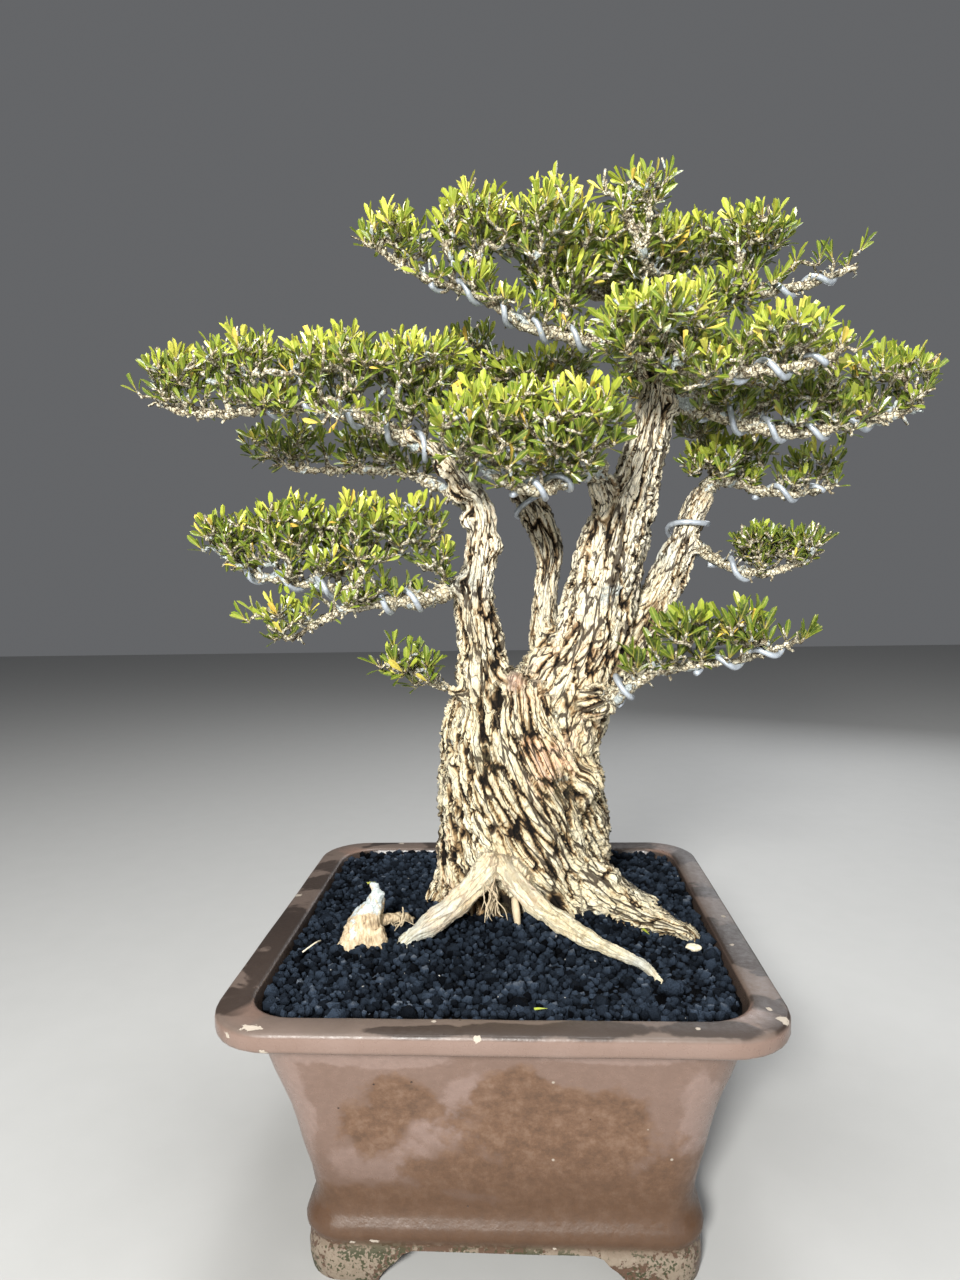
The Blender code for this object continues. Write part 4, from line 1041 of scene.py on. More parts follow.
@dataclass(frozen=True)
class StonewareFinish:
    """Unglazed brown clay: a satin skin, tan stains, damp on the rim, limy chips, crusted feet and some
    painted highlights.
    """

    low: Colour = (0.06, 0.029, 0.013)
    clay: Colour = (0.148, 0.092, 0.067)
    # Paler clay, also the colour of the painted highlights.
    bloom_and_highlight: Colour = (0.245, 0.172, 0.146)
    dirt: Colour = (0.05, 0.03, 0.02)
    # The lip face is partly painted light and the rim top partly painted shade.
    lip: Colour = (0.23, 0.165, 0.14)
    top: Colour = (0.085, 0.064, 0.05)
    damp: Colour = (0.022, 0.013, 0.009)
    lime: Colour = (0.32, 0.275, 0.225)
    fresh_lime: Colour = (0.46, 0.4, 0.33)
    pit: Colour = (0.03, 0.018, 0.014)
    moss: Colour = (0.035, 0.036, 0.014)
    inner: Colour = (0.045, 0.032, 0.026)
    foot_crust: tuple = ((0.26, 0.215, 0.165), (0.12, 0.085, 0.055))
    tans: tuple = ((0.36, (0.078, 0.04, 0.02)), (0.5, (0.128, 0.066, 0.034)),
                   (0.64, (0.185, 0.112, 0.072)))
    stains: tuple = (
        (-72, -118, 96, 22, 50, 22), (-52, -118, 114, 26, 50, 18), (8, -118, 116, 24, 50, 26),
        (34, -118, 70, 70, 50, 64), (-14, -118, 64, 36, 50, 20), (-20, -118, 34, 100, 50, 24),
        (80, -118, 46, 44, 50, 44),
    )
    # Paler patches, and painted highlights down the front corners and under the lip: x, y, z and half sizes.
    blooms_and_highlights: tuple = (
        (-66, -118, 74, 36, 50, 16), (-30, -118, 100, 20, 50, 22), (-17, -118, 120, 16, 50, 16),
        (-112, -118, 95, 16, 40, 62), (106, -118, 90, 15, 40, 62), (-70, -128, 141, 70, 30, 7),
        (60, -128, 143, 50, 30, 5),
    )
    damps: tuple = (
        (-36, -145, 164, 34, 6, 9), (6, -144, 164, 34, 8, 9), (48, -142, 164, 36, 9, 9),
        (104, -141, 164, 28, 9, 9), (136, -124, 164, 13, 20, 9), (-140, -122, 164, 12, 12, 9),
        (142, -62, 164, 12, 20, 9),
    )
    chips: tuple = (
        (-123, -144, 164, 9, 4.5, 3), (-136, -147, 160, 4, 6, 5), (-116, -150, 154, 4, 3, 3),
        (-9, -150, 163, 4, 3, 3), (-32, -136, 164, 2, 2, 2), (143, -131, 164, 5, 6, 6),
        (99, -140, 164, 2, 2, 2), (139, -121, 164, 2.5, 3, 2), (144, -4, 164, 2, 3, 2),
        (139, -46, 164, 2, 2.5, 2), (-83, -112, 23, 4, 4, 2.4), (-70, -112, 25, 5.5, 4, 2.2),
        (-95, -112, 22, 3, 4, 2), (28, -112, 21.5, 4, 4, 1.6), (146, 60, 162, 4, 5, 3),
        (-147, 30, 163, 4, 5, 3), (60, 149, 160, 5, 3, 3), (-90, 146, 164, 4, 3, 3),
        (112, 70, 24, 3, 5, 2), (-112, -20, 24, 3, 6, 2.5),
    )

    def build(self, patches: Tree, specks: Tree) -> Material:
        """Args: patches, specks: the shared groups. Returns: the material."""
        material, graph = new_material("stoneware", 0.38, 0.45)
        place = graph.place()
        fine, cloudy = graph.noise(place, 260.0, 6.0, 0.7), graph.noise(place, 30.0, 5.0, 0.6)
        rim, foot = graph.value(Band.RIM.value), graph.value(Band.FOOT.value)
        colour = graph.mix(cloudy * 0.5, self.clay, self.bloom_and_highlight)
        colour, stained = self.stained(graph, patches, colour, cloudy)
        colour = graph.mix(graph.span(graph.axis("Z"), 0.1, 0.026, 0.0, 0.8), colour, self.low)
        colour = graph.mix(graph.span(fine, 0.35, 0.65, 0.0, 0.35), colour, graph.mix(0.4, colour, self.dirt))
        # The lip face is painted lighter and the rim top darker: partly the clay's own colour, partly painted
        # light on the lip and painted shade on the top.
        colour = graph.mix(graph.value(Band.LIP.value), colour, graph.mix(cloudy, self.lip, self.clay))
        colour = graph.mix(rim, colour, graph.mix(cloudy * 0.5, self.top, self.lip))
        damp = graph.group(patches, Vector=place, Scale=12.0, Start=0.455, Full=0.485, Grain=0.05)["Mask"]
        behind = damp * graph.span(graph.axis("Y"), -0.122, -0.112)
        streaks = graph.blobs(self.damps) + (cloudy - 0.5) * 1.6
        wet = (behind | graph.span(streaks, 0.0, 0.2)) * rim
        colour = graph.mix(wet * 0.85, colour, self.damp)
        lime = graph.group(patches, Vector=place, Scale=24.0, Start=0.48, Full=0.53, Grain=0.7)["Mask"] * foot
        moss = graph.group(patches, Vector=place, Scale=40.0, Start=0.5, Full=0.56, Grain=0.8)["Mask"] * foot
        colour = graph.mix(lime, colour, graph.mix(fine, *self.foot_crust))
        colour = graph.mix(moss, colour, self.moss)
        flecks = graph.group(specks, Vector=place, Scale=80.0, Size=0.11, Share=0.09)["Mask"]
        pits = graph.group(specks, Vector=place, Scale=150.0, Size=0.12, Share=0.12)["Mask"]
        colour = graph.mix(pits, graph.mix(flecks, colour, self.lime), self.pit)
        ragged = (graph.noise(place, 420.0, 5.0, 0.6) - 0.5) * 1.4
        chip = graph.span(graph.blobs(self.chips) + ragged, 0.36, 0.46)
        colour = graph.mix(chip, colour, graph.mix(fine, self.lime, self.fresh_lime))
        colour = graph.mix(graph.value(Band.INSIDE.value), colour, self.inner)
        rough = graph.span(fine, 0.3, 0.7, 0.24, 0.4) + stained * 0.1 + rim * 0.16 + (lime | chip) * 0.35
        height = graph.noise(place, 120.0, 6.0, 0.65) + lime * 0.8 - (pits + chip) * 0.8
        graph.dress(colour, graph.bump(height, 0.0008, 0.5), Roughness=rough)
        return material

    def stained(self, graph: Graph, patches: Tree, colour: Value, cloudy: Value) -> tuple[Value, Value]:
        """Tan stains, and paler patches on the walls, among them painted highlights.

        Args:
            graph: the material's graph.
            patches: the shared group.
            colour: the clay's colour so far.
            cloudy: soft noise from 0 to 1.

        Returns:
            The new colour, and how far each place is stained.
        """
        wall = graph.value(Band.WALL.value)
        mottle = graph.noise(graph.place(), 110.0, 7.0, 0.8)
        wander = (cloudy - 0.5) * 2.0 + (mottle - 0.5) * 0.6
        # Painted highlight: pale strips down the front corners and under the lip, besides paler patches of
        # the clay.
        bloom_and_highlight = graph.span(graph.blobs(self.blooms_and_highlights) + wander, 0.0, 0.34)
        colour = graph.mix(bloom_and_highlight * wall * 0.7, colour, self.bloom_and_highlight)
        front = graph.span(graph.blobs(self.stains) + wander, -0.02, 0.32)
        squat = graph.place((1.0, 1.0, 0.8))
        other = graph.group(patches, Vector=squat, Scale=9.0, Start=0.44, Full=0.55, Grain=0.35)["Mask"]
        stained = (front | other * graph.span(graph.axis("Y"), -0.104, -0.09)) * wall
        return graph.mix(stained * 0.88, colour, graph.ramp(mottle, *self.tans)), stained


@dataclass(frozen=True)
class WireFinish:
    """Dull annealed aluminium, scuffed and dusty."""

    metal: Colour = (0.5, 0.55, 0.61)
    scuffed: Colour = (0.3, 0.33, 0.37)

    def build(self, lichen: Tree) -> Material:
        """Args: lichen: the shared group. Returns: the material."""
        material, graph = new_material("training wire", 0.4, 0.5, 0.4)
        place = graph.place()
        scuff = graph.noise(place, 320.0, 5.0, 0.7)
        colour = graph.mix(graph.span(scuff, 0.42, 0.7), self.metal, self.scuffed)
        dull = graph.group(lichen, Vector=place, Color=colour, Scale=40.0, Start=0.64)["Color"]
        rough = graph.span(scuff, 0.3, 0.7, 0.3, 0.55)
        graph.dress(dull, graph.bump(scuff, 0.0004, 0.4), Roughness=rough)
        return material


@dataclass(frozen=True)
class DeadWoodFinish:
    """Grey dead wood with bleached lichen on top."""

    tones: tuple = ((0.3, (0.12, 0.08, 0.05)), (0.46, (0.5, 0.38, 0.24)), (0.7, (0.8, 0.7, 0.5)))

    def build(self, lichen: Tree) -> Material:
        """Args: lichen: the shared group. Returns: the material."""
        material, graph = new_material("dead wood", 0.9, 0.2)
        fibres = graph.noise(graph.place((1.0, 1.0, 0.2)), 420.0, 6.0, 0.7)
        start = graph.span(graph.axis("Z"), 0.164, 0.184, 0.68, 0.4)
        colour = graph.ramp(fibres, *self.tones)
        crusted = graph.group(lichen, Vector=graph.place(), Color=colour, Scale=70.0, Start=start)
        graph.dress(crusted["Color"], graph.bump(fibres, 0.0012, 0.9))
        return material


@dataclass(frozen=True)
class PlainFinish:
    """One colour, broken up by fine noise."""

    name: str
    colour: Colour
    second: Colour
    roughness: float
    scale: float = 300.0

    def build(self) -> Material:
        """Returns: the material."""
        material, graph = new_material(self.name, self.roughness)
        grain = graph.noise(graph.place(), self.scale, 5.0, 0.6)
        graph.dress(graph.mix(grain, self.colour, self.second), graph.bump(grain, 0.0003, 0.4))
        return material


# Old wood


class Axis:
    """The middle line of a limb, root or trunk, from which the bark's fissures are laid out."""

    def __init__(self, path: Array, twist: float, flat: tuple = (), smooth: float = 0.0) -> None:
        """Sets out the line.

        Args:
            path: rows of x, y, z and radius.
            twist: how fast the fissures wind round it, in radians a millimetre.
            flat: how much wider and deeper than its radius it is, if it isn't round.
            smooth: how far its bark is smoother than the rest, from 0 to 1.
        """
        self.smooth = smooth
        self.path = path
        self.lengths = lengths_of(path)
        self.along, self.across, self.other = frames_of(path)
        self.twist = twist
        self.flat = flat
        self.girth = float(np.mean(path[:, 3]))

    def locate(self, points: Array) -> tuple[Array, Array, Array, Array]:
        """Where points are in the limb's own terms.

        Args:
            points: the points, one row each.

        Returns:
            The height above its surface, the length along it, the angle round it and its radius there.
        """
        nearest = np.zeros(len(points), int)
        best = np.full(len(points), np.inf)
        for index, centre in enumerate(self.path[:, :3]):
            away = dots(points - centre, points - centre)
            closer = away < best
            best[closer] = away[closer]
            nearest[closer] = index
        offset = points - self.path[nearest, :3]
        ahead = dots(offset, self.along[nearest])
        radius = self.path[nearest, 3]
        beyond = np.zeros(len(points))
        last = nearest == len(self.path) - 1
        beyond[last] = np.maximum(ahead[last], 0.0)
        beyond[nearest == 0] = np.maximum(-ahead[nearest == 0], 0.0)
        if self.flat:
            offset = offset / (*self.flat, 1.0)
        first = dots(offset, self.across[nearest])
        second = dots(offset, self.other[nearest])
        above = np.hypot(np.hypot(first, second), beyond) - radius
        return above, self.lengths[nearest] + ahead, np.arctan2(second, first), radius


@dataclass
class OldWood:
    """The trunk, its surface roots and its limbs, grown as one and covered with corky bark."""

    voxel: float = 1.22
    smoothing: int = 4
    ring_points: int = 48
    cell: float = 5.8
    trunk_flat: tuple = (1.0, 0.8)
    trunk_twist: float = 0.0085
    limb_twist: float = 0.0015
    trunk_stretch: float = 0.19
    limb_stretch: float = 0.19
    plate_lift: float = 1.6
    crack_depth: float = 3.3
    fine_depth: float = 0.9
    swell: float = 2.0
    swell_size: float = 26.0
    grit: float = 1.1
    grit_size: float = 2.9
    blend: float = 1.8
    full_radius: float = 17.0
    scar_place: tuple = (10, -9, 322, 8)
    smooth_roots: int = 2
    hollow_places: tuple = ((-13, -18, 272, 9), (38, -14, 251, 9), (2, -10, 184, 13), (-34, -8, 240, 8))
    shadow_places: tuple = ((3, -20, 176, 13), (36, -18, 178, 8), (-13, -21, 166, 10), (22, -23, 168, 9))
    # Moss in hollows of the bark; the place under the front roots' arch is painted shade.
    moss_and_shade_places: tuple = ((-13, -18, 271, 11), (38, -14, 251, 10), (2, -10, 180, 15), (60, -2, 230, 8))
    lichen_places: tuple = ((-54, -37, 165, 14), (-38, -31, 176, 9), (-12, 4, 452, 16), (-18, -2, 385, 12),
                            (114, 36, 400, 10), (80, -76, 166, 9))
    buried_height: float = 149.0
    cuts: tuple = (("foot_and_roots", 206.0), ("trunk_bole", 300.0), ("limbs", 900.0))
    axes: list = field(default_factory=list)

    def build(self, finish: Material) -> None:
        """Makes pieces that meet at level cuts. Args: finish: the bark's material."""
        mesh = remeshed(joined("old wood", self.solids()), self.voxel, self.smoothing)
        self.add_bark(mesh)
        low = self.buried_height
        for name, high in self.cuts:
            add_piece(self.slice_of(name, mesh, low, high), finish, "trunk")
            low = high
        bpy.data.meshes.remove(mesh)

    def solids(self) -> list[Mesh]:
        """The plain shapes that the wood is made from.

        Returns:
            Their meshes, and in self.axes the lines that the bark follows.
        """
        levels = smooth_path([(x, y, z, a) for z, x, y, a, b in TRUNK_LEVELS], 5.0)
        deep = smooth_path([(x, y, z, b) for z, x, y, a, b in TRUNK_LEVELS], 5.0)
        angle = np.arange(self.ring_points) * 2 * math.pi / self.ring_points
        rings = []
        for (x, y, z, wide), depth in zip(levels, deep[:, 3]):
            wave = 1.6 * np.sin(3 * angle + z * 0.035) + 1.1 * np.sin(5 * angle - z * 0.05)
            across, back = x + (wide + wave) * np.cos(angle), y + (depth + wave) * np.sin(angle)
            rings.append(np.stack([across, back, np.full(len(angle), z)], axis=1))
        made = [to_mesh("trunk", lofted(rings))]
        self.axes = [Axis(levels, self.trunk_twist, self.trunk_flat)]
        for points in LIMBS.values():
            path = smooth_path(points, 4.0)
            self.axes.append(Axis(path, self.limb_twist))
            made.append(tube_mesh("limb", [path], 20))
        for number, points in enumerate(ROOTS):
            path = smooth_path(points, 4.0)
            path[:, 3] *= [1.0 + 0.3 * noise.noise(Vector(row[:3]) / 8.0) for row in path]
            self.axes.append(Axis(path, 0.0, smooth=0.45 if number < self.smooth_roots else 0.0))
            made.append(tube_mesh("root", [path], 16))
        for spray in SPRAYS.values():
            start, seat = (np.array(point, float) for point in spray["start"])
            rows = ((start, 2.2), (start * 0.4 + seat * 0.6, 1.2), (seat, 0.4))
            path = np.array([(*place, spray["radius"] + flare) for place, flare in rows])
            made.append(tube_mesh("collar", [path], 12))
        return made + [lump("knot", 3, knot[:3], knot[3:]) for knot in KNOTS]

    def add_bark(self, mesh: Mesh) -> None:
        """Raises plates and sinks fissures, and keeps what the material reads.

        Args:
            mesh: the plain wood.
        """
        points, normals = points_of(mesh), points_of(mesh, "normal")
        located = zip(*(axis.locate(points) for axis in self.axes))
        above, along, angle, radius = (np.array(part) for part in located)
        weight = np.exp(-(above - above.min(axis=0)) / self.blend)
        weight[weight < 0.04] = 0.0
        weight /= weight.sum(axis=0)
        lift, crack, grain = np.zeros(len(points)), np.zeros(len(points)), np.zeros((len(points), 3))
        nearest = weight.argmax(axis=0)
        for number, axis in enumerate(self.axes):
            chosen = np.nonzero(weight[number])[0]
            lean = np.clip(0.5 + (points[chosen, 0] + 45.0) / 160.0, 0.45, 1.0)
            turn = angle[number, chosen] + axis.twist * lean * (along[number, chosen] - axis.lengths[-1])
            stretch = self.trunk_stretch if axis.flat else self.limb_stretch * (1.0 - 0.5 * axis.smooth)
            rolled = np.stack([np.cos(turn) * axis.girth, np.sin(turn) * axis.girth,
                               along[number, chosen] * stretch + 97.0 * number], axis=1)
            own = nearest[chosen] == number
            grain[chosen[own]] = rolled[own]
            for index, place in zip(chosen, rolled / self.cell):
                plate_lift, plate_crack = self.plate(Vector(place), 0.38 if axis.flat else 0.27)
                share = weight[number, index] * (1.0 - axis.smooth)
                lift[index] += share * plate_lift
                crack[index] += share * plate_crack
        size = np.clip((weight * radius).sum(axis=0) / self.full_radius, 0.4, 1.0)
        scar = self.near(points, (self.scar_place,))
        crack *= 1.0 - 0.4 * scar
        swell = noise_at(points, self.swell_size) * self.swell
        swell += noise_at(points, self.grit_size) * self.grit
        rings = np.sin(np.linalg.norm(points - (10, -8, 324), axis=1) * 1.3) * scar * 0.5
        rings -= self.near(points, self.hollow_places) * 3.0
        offset = size * (lift * (1.0 - 0.5 * scar) - crack * self.crack_depth) + swell * size + rings
        set_points(mesh, points + normals * offset[:, None])
        # Painted shadow: the trunk's foot in the hollows by the front roots goes dark through the same values
        # as the fissures.
        shadow = self.near(points, self.shadow_places) * (nearest == 0)
        set_values(mesh, "fissure", np.clip(np.maximum(crack * 1.05, shadow), 0.0, 1.0))
        set_values(mesh, "smooth", (weight * np.array([[axis.smooth] for axis in self.axes])).sum(axis=0))
        set_values(mesh, "grain", grain)
        set_values(mesh, "scar", scar * 0.8)
        # Moss, with painted shade in the hollow under the front roots.
        set_values(mesh, "moss", np.clip(self.near(points, self.moss_and_shade_places) * (0.3 + crack), 0.0, 1.0))
        set_values(mesh, "lichen", self.near(points, self.lichen_places) * 0.8)

    def plate(self, place: Vector, width: float) -> tuple[float, float]:
        """The bark at one place of its cell pattern.

        Args:
            place: the place, in cells.
            width: how wide the fissures are, in cells.

        Returns:
            How far the plate there is lifted, and how deep in a crack it is, from 0 to 1.
        """
        place = place + noise.noise_vector(place * 0.8) * 0.34 + noise.noise_vector(place * 4.0) * 0.07
        distances, middles = noise.voronoi(place)
        edge = distances[1] - distances[0]
        crack = 1.0 - min(1.0, max(0.0, (edge - 0.02) / width))
        small, _ = noise.voronoi(Vector((place.x * 1.7, place.y * 1.7, place.z * 3.6)))
        fine = 1.0 - min(1.0, max(0.0, (small[1] - small[0]) / 0.3))
        lift = self.plate_lift * (noise.cell(middles[0] * 7.3) - 0.4) - self.fine_depth * fine
        lift += 0.9 * noise.noise(place * 2.7)
        return lift, min(1.0, crack * (0.65 + 0.7 * noise.cell(middles[1] * 5.1)) + 0.32 * fine)

    @staticmethod
    def near(points: Array, places: Rows) -> Array:
        """How near points are to some places, from 0 to 1.

        Args:
            points: the points, one row each.
            places: x, y, z and reach of each place.

        Returns:
            One number for each point.
        """
        found = np.zeros(len(points))
        for x, y, z, reach in places:
            away = np.linalg.norm(points - (x, y, z), axis=1) / reach
            found = np.maximum(found, np.clip(1.5 - away, 0.0, 1.0))
        return found

    def slice_of(self, name: str, mesh: Mesh, low: float, high: float) -> Mesh:
        """What lies between two level cuts through the wood, closed.

        Args:
            name: the new mesh's name.
            mesh: the whole wood.
            low: the lower cut's height.
            high: the upper cut's height.

        Returns:
            The new mesh.
        """
        bm = bmesh.new()
        bm.from_mesh(mesh)
        for height, way in ((low, -1), (high, 1)):
            geometry = [*bm.verts, *bm.edges, *bm.faces]
            plane = dict(plane_co=(0, 0, height), plane_no=(0, 0, way), clear_outer=True)
            bmesh.ops.bisect_plane(bm, geom=geometry, **plane)
            bmesh.ops.holes_fill(bm, edges=[edge for edge in bm.edges if edge.is_boundary], sides=0)
        return to_mesh(name, bm)


@dataclass
class DeadRoot:
    """The stump of a dead root, with one thin root that still runs to the trunk."""

    voxel: float = 0.9
    relief: float = 1.1
    spurs: tuple = (
        ((-99, -44, 150, 7), (-92, -38, 165, 7.5), (-86, -32, 178, 5)),
        ((-74, -42, 150, 6), (-80, -36, 168, 6)),
        ((-80, -27, 184, 3.4), (-81, -27, 192, 2.6), (-84, -28, 194, 1.6)),
    )

    def build(self, finish: Material) -> None:
        """Args: finish: the dead wood's material."""
        tubes = [tube_mesh("stump", [smooth_path(points, 3.0)], 14) for points in (*STUMP, *self.spurs)]
        mesh = remeshed(joined("dead_root_stump", tubes), self.voxel, 2)
        roughen(mesh, 3.2, self.relief)
        roughen(mesh, 1.3, self.relief * 0.5)
        add_piece(mesh, finish, "dead_root")


# Leafy branches


@dataclass
class Ramification:
    """The twigs of one leafy branch, grown out to the places of its tufts."""

    rng: Rng
    step: float = 3.2
    wobble: float = 0.45
    outward: float = 0.35
    tip_radius: float = 0.75
    twig_radius: float = 0.74
    thickening: float = 0.38
    full_load: float = 24.0
    points: list = field(default_factory=list)
    ways: list = field(default_factory=list)
    parents: list = field(default_factory=list)
    twigs: list = field(default_factory=list)

    def add_track(self, path: Array) -> None:
        """Takes in a branch that twigs may grow from."""
        for place, way in zip(path[:, :3], ways_of(path)):
            self.points.append(place)
            self.ways.append(way)
            self.parents.append(-1)

    def grow_to(self, target: Array, outwards: Array) -> None:
        """Grows one twig.

        Args:
            target: where its tip goes.
            outwards: which way the bunch's middle lies behind it.
        """
        places, ways = np.array(self.points), np.array(self.ways)
        gap = target - places
        distance = np.maximum(np.linalg.norm(gap, axis=1), 0.1)
        ahead = dots(gap, ways) / distance
        parent = int(np.argmin(distance * (1.4 - 0.4 * ahead)))
        start, reach = places[parent], distance[parent]
        rise = unit(UP + self.outward * outwards)
        first = start + (0.45 * ways[parent] + 0.8 * rise) * reach * 0.38
        second = target - rise * reach * 0.44
        count = max(3, int(reach / self.step))
        line = np.array([
            (1 - t) ** 3 * start + 3 * (1 - t) ** 2 * t * first + 3 * (1 - t) * t**2 * second + t**3 * target
            for t in np.linspace(0.0, 1.0, count + 1)
        ])
        line[1:-1] += self.rng.normal(0.0, self.wobble, (count - 1, 3))
        directions = ways_of(line)
        rows = [parent]
        for place, way in zip(line[1:], directions[1:]):
            self.points.append(place)
            self.ways.append(way)
            self.parents.append(rows[-1])
            rows.append(len(self.points) - 1)
        self.twigs.append(rows)

    def loads(self) -> Array:
        """How many tips each place carries."""
        load = np.zeros(len(self.points))
        for rows in self.twigs:
            load[rows[-1]] += 1
        for index in range(len(self.points) - 1, -1, -1):
            if self.parents[index] >= 0:
                load[self.parents[index]] += load[index]
        return load

    def tubes(self) -> list[Array]:
        """The twigs as rows of x, y, z and radius."""
        load = self.loads()
        made = []
        for rows in self.twigs:
            places = np.array([self.points[row] for row in rows])
            radius = self.twig_radius + self.thickening * np.sqrt(np.minimum(load[rows], self.full_load))
            radius[0] = radius[1]
            radius *= self.rng.uniform(0.82, 1.25, len(rows))
            radius[-1] = self.tip_radius
            made.append(np.hstack([places, radius[:, None]]))
        return made


@dataclass
class LeafMaker:
    """Makes tufts of spoon-shaped leaves at twig tips."""

    length: float = 13.0
    width: float = 0.3
    thickness: float = 0.028
    fold: float = 0.1
    curl: float = 0.1
    pair_gap: float = 2.1
    missing: float = 0.1
    yellow: float = 0.03
    clipped: float = 0.3
    lift: float = 0.18

    def template(self, cut: bool) -> Mesh:
        """One leaf, 1 long: a thin closed blade that is folded a little along its rib.

        Args:
            cut: whether its tip was cut off square.

        Returns:
            The leaf's mesh, with its base at the origin and its tip along Y.
        """
        stations = ((0.0, 0.0), (0.62, 0.44), (0.88, 0.36), (1.0, 0.0))
        if cut:
            stations = ((0.0, 0.0), (0.52, 0.38), (0.8, 0.46), (0.82, 0.0))
        bm = bmesh.new()
        bmesh.ops.create_grid(bm, x_segments=2, y_segments=3, size=1.0)
        ordered = sorted(bm.verts, key=lambda vert: (round(vert.co.y, 3), round(vert.co.x, 3)))
        for number, vert in enumerate(ordered):
            along, half = stations[number // 3]
            side = number % 3 - 1
            x = side * half * self.width
            vert.co = (x, along, self.fold * abs(side) * half - self.curl * along * along)
        under = bmesh.ops.duplicate(bm, geom=bm.faces[:] + bm.edges[:] + bm.verts[:])["geom"]
        length = stations[-1][0]
        for item in under:
            if not isinstance(item, bmesh.types.BMVert):
                continue
            if abs(item.co.x) < 1e-6 and 0.01 < item.co.y < length - 0.01:
                item.co.z -= self.thickness
        bmesh.ops.reverse_faces(bm, faces=[item for item in under if isinstance(item, bmesh.types.BMFace)])
        bmesh.ops.remove_doubles(bm, verts=bm.verts, dist=1e-5)
        bmesh.ops.triangulate(bm, faces=bm.faces)
        bmesh.ops.recalc_face_normals(bm, faces=bm.faces)
        return to_mesh("leaf", bm)

    def tuft(self, tip: Array, way: Array, rng: Rng, light: float) -> list[tuple]:
        """The leaves of one twig tip: pairs set crosswise, the last ones nearly upright.

        Args:
            tip: the twig's end.
            way: the way it points.
            rng: the branch's random numbers.
            light: how much light the tuft gets, from 0 to 1.

        Returns:
            For each leaf its turn, its place, its tint and whether it is cut.
        """
        side = unit(np.cross(way, rng.normal(size=3)))
        other = np.cross(way, side)
        leaves = []
        for level in range(int(rng.choice((2, 3, 3, 4)))):
            foot = tip - way * self.pair_gap * level
            for half in (0.0, math.pi):
                if rng.random() < self.missing:
                    continue
                angle = half + level * math.pi / 2 + rng.normal(0.0, 0.25)
                spread = math.radians(16 + 19 * level + rng.normal(0.0, 7.0))
                out = side * math.cos(angle) + other * math.sin(angle)
                along = unit(way * math.cos(spread) + out * math.sin(spread) + self.lift * UP)
                face = way - along * (way @ along) + 0.05 * out
                face -= along * (face @ along)
                face /= max(np.linalg.norm(face), 1e-6)
                across = np.cross(along, face)
                size = self.length * (1.0 - 0.1 * level) * rng.uniform(0.8, 1.1)
                turn = np.stack([across * rng.uniform(0.85, 1.15), along, face], axis=1) * size
                # Painted light: the tint is lighter where the tuft gets more light and darker where it gets
                # less, besides random variation.
                tint = 0.13 + 0.67 * light + rng.normal(0.0, 0.12 + 0.1 * light) - 0.06 * level
                tint = np.clip(tint, 0.0, 0.9)
                if rng.random() < self.yellow:
                    tint = rng.uniform(0.93, 1.0)
                leaves.append((turn, foot, tint, rng.random() < self.clipped))
        return leaves


